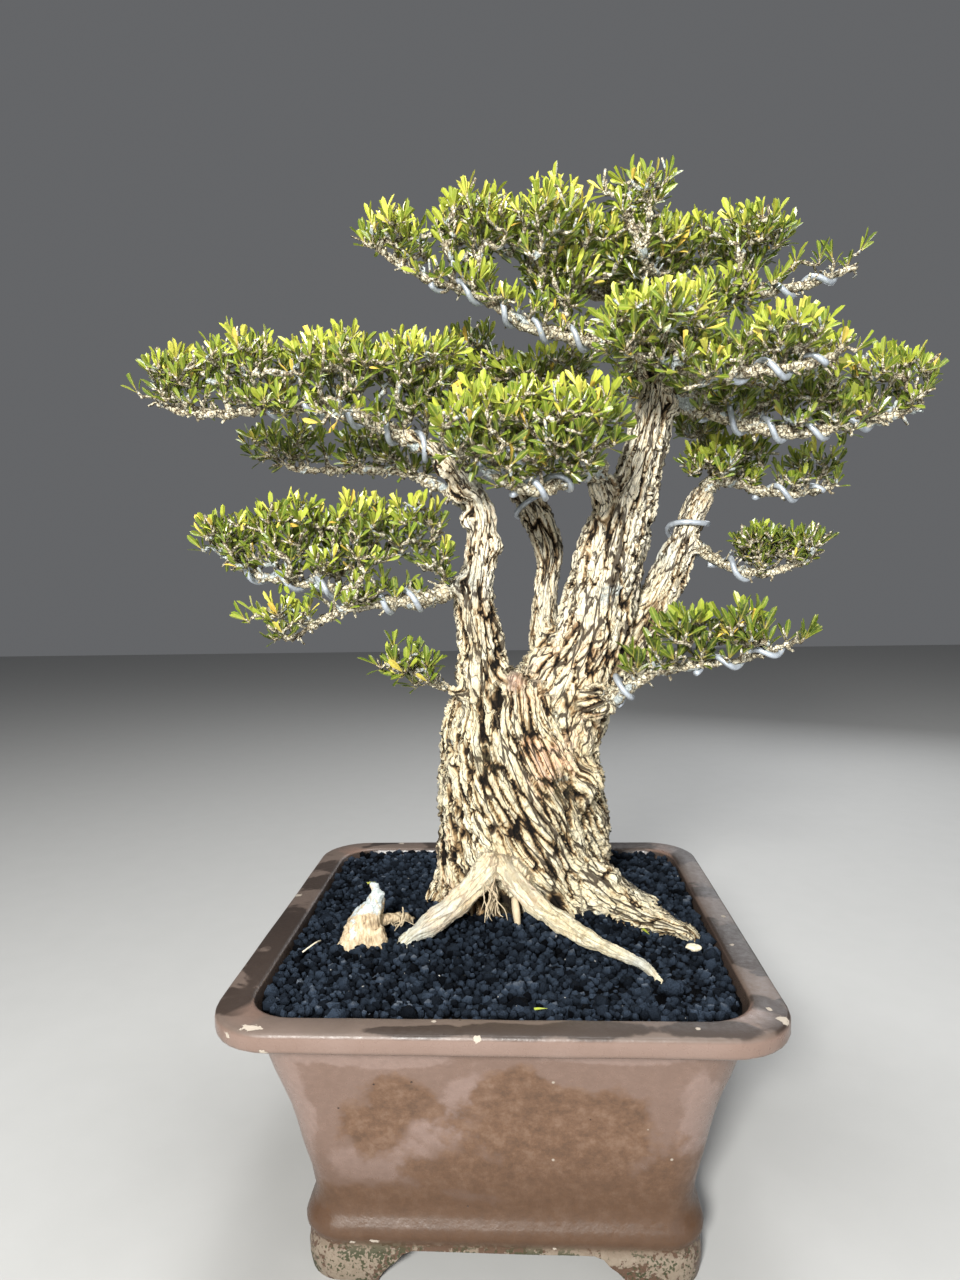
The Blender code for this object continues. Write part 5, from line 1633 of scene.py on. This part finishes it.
@dataclass
class LeafyBranch:
    """One branch that grows out of a limb, with its wire, twigs and tufts."""

    name: str
    start: tuple
    radius: float
    path: tuple
    pads: tuple
    forks: tuple = ()
    wired: tuple = ()
    # Painted light: how much lighter or darker the branch's leaves are painted for the light that it gets.
    tone: float = 0.0
    leaf: float = 13.0
    spacing: float = 6.8
    openness: float = 0.16
    clump: float = 15.0
    fringe: tuple = (0.2, 0.9)
    fringe_reach: tuple = (7.0, 18.0)
    slimness: float = 0.8
    sunk: float = 5.0
    tries: float = 0.06
    side_room: float = 6.0
    top_room: float = 11.0
    low_room: float = 4.0
    under_share: float = 0.82
    wood_room: float = 7.0

    def tracks(self) -> list[Array]:
        """The branch's and its forks' smooth middle lines, the branch first."""
        start, seat = (np.array(point, float) for point in self.start)
        way = unit(seat - start)
        first = [(*(seat - way * self.sunk), self.radius), (*(seat + way * 4.0), self.radius)]
        return [smooth_path([*first, *self.path], 2.0)] + [smooth_path(fork, 2.0) for fork in self.forks]

    def tuft_places(self, tracks: list, rng: Rng) -> list[tuple[Array, Array, float]]:
        """Seeded places for the tufts: evenly apart through each bunch, and here and there along the wood.

        Args:
            tracks: the branch's and its forks' middle lines.
            rng: the branch's random numbers.

        Returns:
            For each tuft its place, the way out of its bunch, and how much light it gets.
        """
        rows: list[tuple[Array, Array, float]] = []
        for pad in self.pads:
            middle, half = np.array(pad[:3], float), np.array(pad[3:], float)
            middle[2] += rng.uniform(-2.0, 1.0)
            for ball in rng.uniform(-1.0, 1.0, (int(np.prod(half) * self.tries), 3)):
                if np.linalg.norm(ball) > 1.0 or (ball[2] < -0.05 and rng.random() < self.under_share):
                    continue
                room = self.top_room if ball[2] > 0.0 else self.low_room
                reach = half - (self.side_room, self.side_room, room)
                reach[2] *= rng.uniform(0.75, 1.2)
                self.try_tuft(rows, middle + ball * np.maximum(reach, 3.0), ball, 0.4 + 0.6 * ball[2])
        first, density = self.fringe
        for track in tracks:
            lengths = lengths_of(track)
            for length in rng.uniform(first * lengths[-1], lengths[-1], int(lengths[-1] * density)):
                centre = row_at(track[:, :3], lengths, length)
                way = unit(rng.normal(size=3) * (1.0, 1.0, 0.5) + (0.0, -0.2, 0.8))
                if way[2] < 0.1:
                    continue
                self.try_tuft(rows, centre + way * rng.uniform(*self.fringe_reach), way, 0.25 + 0.3 * way[2])
        return rows

    def try_tuft(self, rows: list, place: Array, way: Array, light: float) -> None:
        """Adds a tuft unless another tuft or a limb is in its way.

        Args:
            rows: the tufts so far.
            place: where it would go.
            way: the way out of its bunch.
            light: how much light it gets, before the branch's own shift of painted light.
        """
        if rows and np.linalg.norm(np.array([row[0] for row in rows]) - place, axis=1).min() < self.spacing:
            return
        if limb_gap(place) < self.wood_room or noise.noise(Vector(place / self.clump)) < self.openness - 0.36:
            return
        out = way * (1.0, 1.0, 0.3)
        rows.append((place, out / max(np.linalg.norm(out), 0.1), float(np.clip(light + self.tone, 0.0, 1.0))))

    def build(self, bark: Material, leaf: Material, wire: Material) -> None:
        """Args: bark, leaf, wire: the materials of the wood, the leaves and the wire."""
        rng = np.random.default_rng([SEED, *self.name.encode()])
        tracks = self.tracks()
        growth = Ramification(rng)
        for track in tracks:
            growth.add_track(track)
        rows = self.tuft_places(tracks, rng)
        line = np.array(growth.points)
        rows.sort(key=lambda row: np.linalg.norm(line - row[0], axis=1).min())
        for place, outwards, _ in rows:
            growth.grow_to(place, outwards)
        self.add_wood(tracks, growth, rng, bark)
        self.add_leaves(growth, rows, rng, leaf)
        if self.wired:
            self.add_wire(tracks[0], wire)

    def add_wood(self, tracks: list, growth: Ramification, rng: Rng, bark: Material) -> None:
        """Makes the branch, its forks, its twigs and the stubs of cut twigs."""
        thick = []
        for track in tracks:
            knobbly = track.copy()
            knobbly[:, 3] *= rng.uniform(0.84, 1.18, len(track)) * self.slimness
            thick.append(knobbly)
        branch = tube_mesh("branch", thick, 12)
        roughen(branch, 6.0, 2.2)
        roughen(branch, 2.2, 1.5)
        twigs = growth.tubes() + self.stubs(growth, rng) + self.spurs(tracks, rng)
        mesh = joined(f"branch_{self.name}", [branch, tube_mesh("twigs", twigs, 4)])
        add_piece(mesh, bark, f"spray_{self.name}")

    def spurs(self, tracks: list, rng: Rng) -> list[Array]:
        """Old crooked twigs without leaves, close along the wood."""
        made = []
        for track in tracks:
            for row, along in zip(track[3::2], ways_of(track)[3::2]):
                out = unit(np.cross(along, rng.normal(size=3))) + 0.3 * along + 0.2 * UP
                first = row[:3] + out * row[3] * 0.6
                bend = first + out * rng.uniform(2.0, 4.0)
                end = bend + (out + rng.normal(0.0, 0.5, 3)) * rng.uniform(1.5, 4.0)
                size = rng.uniform(0.6, 1.3)
                made.append(np.array([(*first, size * 1.3), (*bend, size), (*end, size * 0.8)]))
        return made

    def stubs(self, growth: Ramification, rng: Rng) -> list[Array]:
        """Short blunt stubs where twigs were cut off."""
        made = []
        for index in rng.choice(len(growth.points), len(growth.points) // 3, replace=False):
            place, way = growth.points[index], growth.ways[index]
            out = unit(np.cross(way, rng.normal(size=3))) + 0.5 * way + 0.5 * UP
            end = place + out * rng.uniform(2.0, 8.0)
            size = rng.uniform(0.6, 1.15)
            made.append(np.array([(*place, size), (*end, size * 0.85)]))
        return made

    def add_leaves(self, growth: Ramification, rows: list, rng: Rng, leaf: Material) -> None:
        """Sets a tuft on every twig."""
        maker = LeafMaker(length=self.leaf)
        leaves = []
        for twig, (_, outwards, light) in zip(growth.twigs, rows):
            tip, way = growth.points[twig[-1]], growth.ways[twig[-1]]
            leaves += maker.tuft(tip, unit(way + 0.35 * UP + 0.25 * outwards), rng, light)
        parts = []
        for cut in (False, True):
            some = [row for row in leaves if row[3] == cut]
            template = maker.template(cut)
            turns, places = np.array([row[0] for row in some]), np.array([row[1] for row in some])
            part = copies("leaves", template, turns, places)
            shape = points_of(template)
            set_values(part, "tint", np.repeat([row[2] for row in some], len(shape)))
            set_values(part, "along", np.tile(shape[:, 1], len(some)))
            set_values(part, "rib", np.tile(1.0 - np.abs(shape[:, 0]) / (0.5 * maker.width), len(some)))
            parts.append(part)
        mesh = joined(f"leaves_{self.name}", parts)
        add_piece(mesh, leaf, f"spray_{self.name}", smooth=False)

    def add_wire(self, track: Array, wire: Material) -> None:
        """Winds the wire round its stretch of the branch."""
        whole = lengths_of(track)[-1] - self.sunk
        low, high = (share * whole + self.sunk for share in self.wired)
        path = coil_path(track, low, high, self.slimness)
        mesh = tube_mesh(f"coil_{self.name}", [path], WIRE_SIDES)
        add_piece(mesh, wire, f"wire_{self.name}")


@dataclass
class AnchorWires:
    """The turns of wire round limbs and forks that hold the ends of the others."""

    turns: tuple = (
        ("right_limb", LIMBS["right"], 96.0, 118.0, 1.0, 25.0),
        ("rear_limb", LIMBS["rear"], 153.0, 163.0, 0.92, 10.0),
        ("low_left_root", SPRAYS["low_left"]["path"], 4.0, 42.0, 0.8, 19.0),
        ("low_right_root", LOW_RIGHT_ROOT, 6.0, 17.0, 1.0, 11.0),
        ("centre_fork", SPRAYS["centre"]["forks"][0], 8.0, 66.0, 0.8, 19.0),
    )

    def build(self, wire: Material) -> None:
        """Args: wire: the wire's material."""
        for name, points, low, high, slimness, pitch in self.turns:
            path = coil_path(smooth_path(points, 2.0), low, high, slimness, pitch)
            add_piece(tube_mesh(f"coil_{name}", [path], WIRE_SIDES), wire)


# Pot and soil


@dataclass
class SquarePot:
    """The square stoneware pot with its lipped rim, flared walls and bracket feet."""

    corner_points: int = 9
    side_points: int = 22
    under_half: float = 93.0
    under_corner: float = 12.0
    under_heights: tuple = (20.0, 14.0, 6.0, 0.0)
    drain_radius: float = 12.0
    warp: float = 0.35
    warp_size: float = 34.0
    rim_low: float = 162.9
    rim_half: float = 131.0
    lip_low: float = 151.0
    lip_half: float = 143.0
    wall_low: float = 20.0
    wall_high: float = 149.0
    foot_high: float = 24.0
    floor: float = 30.0

    def ring(self, half: float, height: float, corner: float) -> Array:
        """A level square with round corners.

        Args:
            half: half its side.
            height: how high it lies.
            corner: its corners' radius.

        Returns:
            Its points, one row each.
        """
        points = []
        for quarter in range(4):
            turn = quarter * math.pi / 2
            middle = half - corner
            for angle in np.linspace(0.0, math.pi / 2, self.corner_points):
                points.append((turn, middle + corner * math.cos(angle), middle + corner * math.sin(angle)))
            for share in np.linspace(0.0, 1.0, self.side_points + 2)[1:-1]:
                points.append((turn, middle - 2 * middle * share, half))
        return np.array([(x * math.cos(t) - y * math.sin(t), x * math.sin(t) + y * math.cos(t), height)
                         for t, x, y in points])

    def build(self, finish: Material) -> None:
        """Args: finish: the clay's material."""
        under = [(self.under_half, height, self.under_corner) for height in self.under_heights]
        rings = [self.ring(*level) for level in (*under, *POT_OUTSIDE, *POT_INSIDE)]
        obj = new_object("stoneware_pot", to_mesh("pot blank", lofted(rings)))
        cutters = bpy.data.collections.new("pot cutters")
        bpy.context.scene.collection.children.link(cutters)
        for cutter in self.cutters():
            cutters.objects.link(bpy.data.objects.new("cutter", cutter))
        cut = obj.modifiers.new("cut", "BOOLEAN")
        cut.operand_type = "COLLECTION"
        cut.collection = cutters
        cut.solver = "MANIFOLD"
        bevel = obj.modifiers.new("soft edges", "BEVEL")
        bevel.width = 0.9
        bevel.segments = 2
        bevel.angle_limit = math.radians(50)
        mesh = mesh_of(obj)
        for cutter in list(cutters.objects):
            bpy.data.objects.remove(cutter)
        bpy.data.collections.remove(cutters)
        self.wear(mesh)
        add_piece(mesh, finish, "pot")

    def cutters(self) -> list[Mesh]:
        """The shapes cut from the pot: an arch each way between its feet, and its drain holes."""
        made = []
        outline = [*FOOT_ARCH, *((-x, z) for x, z in reversed(FOOT_ARCH))]
        for turned in (False, True):
            rings = [np.array([(x, y, z) for x, z in outline]) for y in (-140.0, 140.0)]
            bm = lofted(rings)
            if turned:
                bmesh.ops.rotate(bm, matrix=Matrix.Rotation(math.pi / 2, 3, "Z"), verts=bm.verts)
            made.append(to_mesh("arch", bm))
        for x in DRAIN_PLACES.values():
            bm = bmesh.new()
            bore = dict(segments=32, radius1=self.drain_radius, radius2=self.drain_radius, depth=60.0)
            bmesh.ops.create_cone(bm, cap_ends=True, **bore)
            bmesh.ops.translate(bm, vec=(x, 0.0, 20.0), verts=bm.verts)
            made.append(to_mesh("drain", bm))
        return made

    def wear(self, mesh: Mesh) -> None:
        """Warps the clay a little and marks its bands for the material."""
        points, normals = points_of(mesh), points_of(mesh, "normal")
        warp = noise_at(points, self.warp_size) * self.warp
        set_points(mesh, points + normals * warp[:, None] * (points[:, 2:] > 1.0))
        half = np.abs(points[:, :2]).max(axis=1)
        height = points[:, 2]
        inward = dots(normals[:, :2], points[:, :2]) < 0.0
        below = height < self.rim_low
        bands = {
            Band.RIM: (height > self.rim_low) & (half > self.rim_half),
            Band.LIP: (height > self.lip_low) & below & (half > self.lip_half),
            Band.WALL: ~inward & (height < self.wall_high) & (height > self.wall_low),
            Band.FOOT: np.clip((self.foot_high - height) / 6.0, 0.0, 1.0),
            Band.INSIDE: inward & (height > self.floor) & below,
        }
        for band, values in bands.items():
            set_values(mesh, band.value, values)


@dataclass
class LavaSoil:
    """The dark grains that cover the soil, heaped a little against the trunk and the pot's sides."""

    half: float = 129.0
    spacing: float = 4.8
    row_share: float = 0.87
    grain: float = 2.45
    grain_spread: float = 0.2
    big_share: float = 0.02
    depths: tuple = (0.4, -2.2)
    shapes: int = 14

    @staticmethod
    def height(x: Array, y: Array) -> Array:
        """How high the soil lies: it rises gently towards the trunk."""
        away = np.hypot(x - SOIL_MIDDLE[0], y - SOIL_MIDDLE[1]) / SOIL_MOUND_SPREAD
        arch = np.hypot(x - SOIL_ARCH[0], y - SOIL_ARCH[1]) / SOIL_ARCH_SPREAD
        side = np.clip((np.maximum(np.abs(x), np.abs(y)) - 112.0) / 14.0, 0.0, 1.0)
        mound = (SOIL_MOUND + SOIL_EXTRA) * np.exp(-(away**2)) + SOIL_EXTRA * np.exp(-(arch**2))
        return SOIL_EDGE_HEIGHT + mound + 2.4 * side

    def build(self, finish: Material, soil: Object) -> None:
        """Args: finish: the grains' material. soil: the soil's own solid, which gets it too and shows
        near-black between the grains as painted shade.
        """
        rng = np.random.default_rng(SEED)
        rows = np.arange(-self.half, self.half, self.spacing * self.row_share)
        steps = np.arange(-self.half, self.half, self.spacing)
        grid = np.array([(x + self.spacing / 2 * (row % 2), y) for row, y in enumerate(rows) for x in steps])
        upper = grid + rng.uniform(-1.0, 1.0, grid.shape)
        places = np.vstack([upper, grid + rng.uniform(1.2, 3.2, grid.shape)])
        sunk = np.repeat(self.depths, len(grid))
        keep = (np.abs(places).max(axis=1) < self.half - 1.5) & (self.trunk_gap(places) > 1.0)
        corner = np.abs(places) - (self.half - 25.0)
        keep &= ~((corner.min(axis=1) > 0) & (np.hypot(corner[:, 0], corner[:, 1]) > 23.0))
        places, sunk = places[keep], sunk[keep]
        height = self.height(places[:, 0], places[:, 1]) + sunk + rng.uniform(-0.9, 1.3, len(places))
        size = self.grain * np.exp(rng.normal(0.0, self.grain_spread, len(places)))
        size[rng.random(len(places)) < self.big_share] *= 1.6
        parts = []
        kind = rng.integers(self.shapes, size=len(places))
        for shape in range(self.shapes):
            chosen = kind == shape
            template = self.template(rng)
            turns = np.array([self.turn(rng) * s for s in size[chosen]])
            spots = np.column_stack([places[chosen], height[chosen]])
            part = copies("grains", template, turns, spots)
            count = len(template.vertices)
            rise = (points_of(part)[:, 2] - np.repeat(spots[:, 2], count)) / np.repeat(size[chosen], count)
            # Painted shade: each grain's own random shade is darkened further towards its lower side.
            shade = np.repeat(rng.beta(1.5, 2.2, len(spots)), count)
            set_values(part, "shade", shade * np.clip(0.3 + 0.9 * rise, 0, 1.2))
            parts.append(part)
        add_piece(joined("lava_grains", parts), finish, smooth=False)
        # Painted shade: the soil's own solid has no shade values, so it shows near-black in the gaps between
        # the grains.
        soil.data.materials.clear()
        soil.data.materials.append(finish)

    @staticmethod
    def trunk_gap(places: Array) -> Array:
        """How far places on the soil are from the trunk's foot."""
        _, x, y, wide, deep = TRUNK_LEVELS[2]
        reach = np.hypot((places[:, 0] - x) / wide, (places[:, 1] - y) / deep)
        return (reach - 0.93) * min(wide, deep)

    @staticmethod
    def turn(rng: Rng) -> Array:
        """A random turn, a little flattened."""
        matrix, _ = np.linalg.qr(rng.normal(size=(3, 3)))
        if np.linalg.det(matrix) < 0:
            matrix[:, 0] *= -1
        return matrix * rng.uniform(0.78, 1.15, 3)

    @staticmethod
    def template(rng: Rng) -> Mesh:
        """One irregular grain, about 1 in radius."""
        bm = bmesh.new()
        bmesh.ops.create_icosphere(bm, subdivisions=1, radius=1.12)
        for vert in bm.verts:
            vert.co *= rng.uniform(0.74, 1.16)
        return to_mesh("grain", bm)


@dataclass
class Litter:
    """What lies on the soil: bits of leaf, a straw, a pale chip and one big lump of lava."""

    leaves: tuple = ((92, -32, 0.6, 9.0), (26, -121, 2.1, 10.0), (70, 40, 1.1, 12.0), (-96, 60, 2.6, 12.0))
    straw: tuple = ((-119, -62, 165.0), (-113, -55, 167.5), (-112, -46, 165.0))
    chip: tuple = ((115.0, -51.0, 164.5), (4.8, 2.6, 1.8))
    big_grain: tuple = ((94.0, -98.8, 162.5), (7.0, 5.6, 5.25))

    def build(self, leaf: Material, straw: Material, grain: Material) -> None:
        """Args: leaf, straw, grain: the materials."""
        template = LeafMaker().template(cut=True)
        turns, places = [], []
        for x, y, turn, size in self.leaves:
            turns.append(np.array(Matrix.Rotation(turn, 3, "Z") @ Matrix.Rotation(0.25, 3, "X")) * size)
            places.append((x, y, LavaSoil.height(x, y) + 3.0))
        bits = copies("fallen_leaf_bits", template, np.array(turns), np.array(places))
        shape = points_of(template)
        set_values(bits, "tint", np.repeat(np.linspace(0.55, 0.85, len(turns)), len(shape)))
        set_values(bits, "along", np.full(len(shape) * len(turns), 0.6))
        add_piece(bits, leaf, smooth=False)
        path = smooth_path([(*point, 0.5) for point in self.straw], 2.0)
        add_piece(tube_mesh("straw", [path], 6), straw)
        chip, big = lump("pale_chip", 4, *self.chip), lump("lava_lump", 4, *self.big_grain)
        for stone, relief in ((chip, 0.8), (big, 1.8)):
            roughen(stone, 3.4, relief)
            roughen(stone, 1.3, relief * 0.6)
        add_piece(chip, straw)
        # Painted shade: the lump is darker towards its bottom.
        rise = points_of(big)[:, 2] - self.big_grain[0][2]
        set_values(big, "shade", np.clip(rise / 9.0 + 0.15, 0.0, 0.6))
        add_piece(big, grain, smooth=False)


@dataclass
class DrainMeshes:
    """The woven plastic squares over the drain holes."""

    side: float = 42.0
    floor: float = 31.0
    strands: int = 16
    radius: float = 0.38

    def build(self, finish: Material) -> None:
        """Args: finish: the plastic's material."""
        reach = self.side / 2 - 0.6
        low, high = self.floor + 0.75, self.floor + 1.05
        for side, x in DRAIN_PLACES.items():
            paths = []
            for place in np.linspace(-reach, reach, self.strands):
                paths.append(np.array([(x + end, place, low, self.radius) for end in (-reach, reach)]))
                paths.append(np.array([(x + place, end, high, self.radius) for end in (-reach, reach)]))
            add_piece(tube_mesh(f"drain_net_{side}", paths, 6), finish, f"drain_mesh_{side}")


@dataclass
class FineRoots:
    """Hair-thin roots under the arch of the front roots and beside the stump."""

    bundles: tuple = (((-7, -22, 198), (-9, -29, 173), 15, 6.0), ((-66, -16, 170), (-70, -24, 165), 9, 9.0))
    pegs: tuple = (((8, -25, 184, 2.2), (9, -29, 178, 2.7), (10, -31, 169, 2.0)),)

    def build(self, finish: Material) -> None:
        """Args: finish: the roots' material."""
        rng = np.random.default_rng(SEED + 1)
        paths = []
        for top, foot, count, spread in self.bundles:
            for _ in range(count):
                start = np.array(top) + rng.normal(0.0, spread * 0.5, 3)
                end = np.array(foot) + rng.normal(0.0, spread, 3) * (1.0, 0.6, 0.0)
                radius = rng.uniform(0.22, 0.48)
                run = end - start
                bends = [start + run * share + rng.normal(0.0, 1.7, 3) for share in (0.25, 0.5, 0.75)]
                points = [(*place, radius) for place in (start, *bends)]
                paths.append(smooth_path([*points, (*end, radius * 0.5)], 2.0))
        for points in self.pegs:
            paths.append(smooth_path(points, 2.0))
        add_piece(tube_mesh("fine_roots", paths, 6), finish)


# Studio


@dataclass
class Studio:
    """The plain floor, the soft lights and the camera."""

    focal_px: float = 823.0
    frame_height_px: float = 1280.0
    film: float = 36.0
    aim: tuple = (0.0, 0.0, 0.33)
    daylight: tuple = (0.86, 0.88, 0.92, 1.0)
    daylight_strength: float = 0.15
    camera_place: tuple = (0.01564, -0.53462, 0.38531)
    camera_turn: tuple = (85.8864, 0.9665, 2.9445)
    lights: tuple = (
        ("key", (-0.35, -1.42, 0.92), 0.25, 50.0, (1.0, 0.99, 0.96)),
        ("fill", (1.0, -1.2, 0.6), 0.9, 5.0, (0.93, 0.96, 1.0)),
        ("top", (0.05, -0.05, 1.9), 0.6, 24.0, (1.0, 1.0, 1.0)),
        ("rear", (0.7, 1.3, 0.9), 0.8, 7.0, (0.95, 0.97, 1.0)),
    )

    def build(self) -> None:
        """Makes the camera, the lights and the floor."""
        offset = Vector(POT_MIDDLE * MM)
        camera = new_object("camera", bpy.data.cameras.new("camera"))
        camera.location = Vector(self.camera_place) + offset
        camera.rotation_euler = [math.radians(turn) for turn in self.camera_turn]
        camera.data.sensor_width = self.film
        camera.data.lens = self.focal_px * self.film / self.frame_height_px
        camera.data.clip_start = 0.01
        bpy.context.scene.camera = camera
        bpy.context.scene.view_settings.view_transform = "Standard"
        for name, place, size, power, colour in self.lights:
            lamp = bpy.data.lights.new(name, "AREA")
            lamp.size, lamp.energy, lamp.color = size, power, colour
            obj = new_object(name, lamp)
            obj.location = place
            aim = Vector(self.aim) - Vector(place)
            obj.rotation_euler = aim.to_track_quat("-Z", "Y").to_euler()
        world = bpy.data.worlds.new("studio")
        world.use_nodes = True
        background = world.node_tree.nodes["Background"]
        background.inputs["Color"].default_value = self.daylight
        background.inputs["Strength"].default_value = self.daylight_strength
        bpy.context.scene.world = world
        bm = bmesh.new()
        bmesh.ops.create_grid(bm, x_segments=1, y_segments=1, size=4.0)
        floor = new_object("floor", to_mesh("floor", bm))
        paint = PlainFinish("floor", (0.42, 0.42, 0.41), (0.45, 0.45, 0.44), 0.7, 30.0)
        floor.data.materials.append(paint.build())


def corners(box: tuple[Vector, Vector]) -> list[list[float]]:
    """A box's two corners as plain numbers."""
    return [list(map(float, corner)) for corner in box]


def main() -> None:
    """Builds the studio and every piece, in order."""
    logging.basicConfig(level=logging.INFO, format="%(name)s: %(message)s")
    noise.seed_set(SEED)
    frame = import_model()
    Studio().build()
    patches, specks, lichen = make_patches_group(), make_specks_group(), make_lichen_group()
    SquarePot().build(StonewareFinish().build(patches, specks))
    grain = GrainFinish().build(specks)
    LavaSoil().build(grain, frame["nodes"]["soil"])
    DrainMeshes().build(PlainFinish("drain plastic", (0.02, 0.035, 0.028), (0.04, 0.06, 0.05), 0.55).build())
    OldWood().build(BarkFinish().build(lichen, patches))
    DeadRoot().build(DeadWoodFinish().build(lichen))
    root_skin = PlainFinish("fine root", (0.34, 0.25, 0.15), (0.7, 0.6, 0.42), 0.8).build()
    FineRoots().build(root_skin)
    twig, leaf, wire = TwigFinish().build(lichen), LeafFinish().build(), WireFinish().build(lichen)
    for name, spray in SPRAYS.items():
        LeafyBranch(name, **spray).build(twig, leaf, wire)
    AnchorWires().build(wire)
    straw = PlainFinish("straw", (0.5, 0.42, 0.28), (0.86, 0.8, 0.64), 0.7).build()
    Litter().build(leaf, straw, grain)


if __name__ == "__main__":
    main()
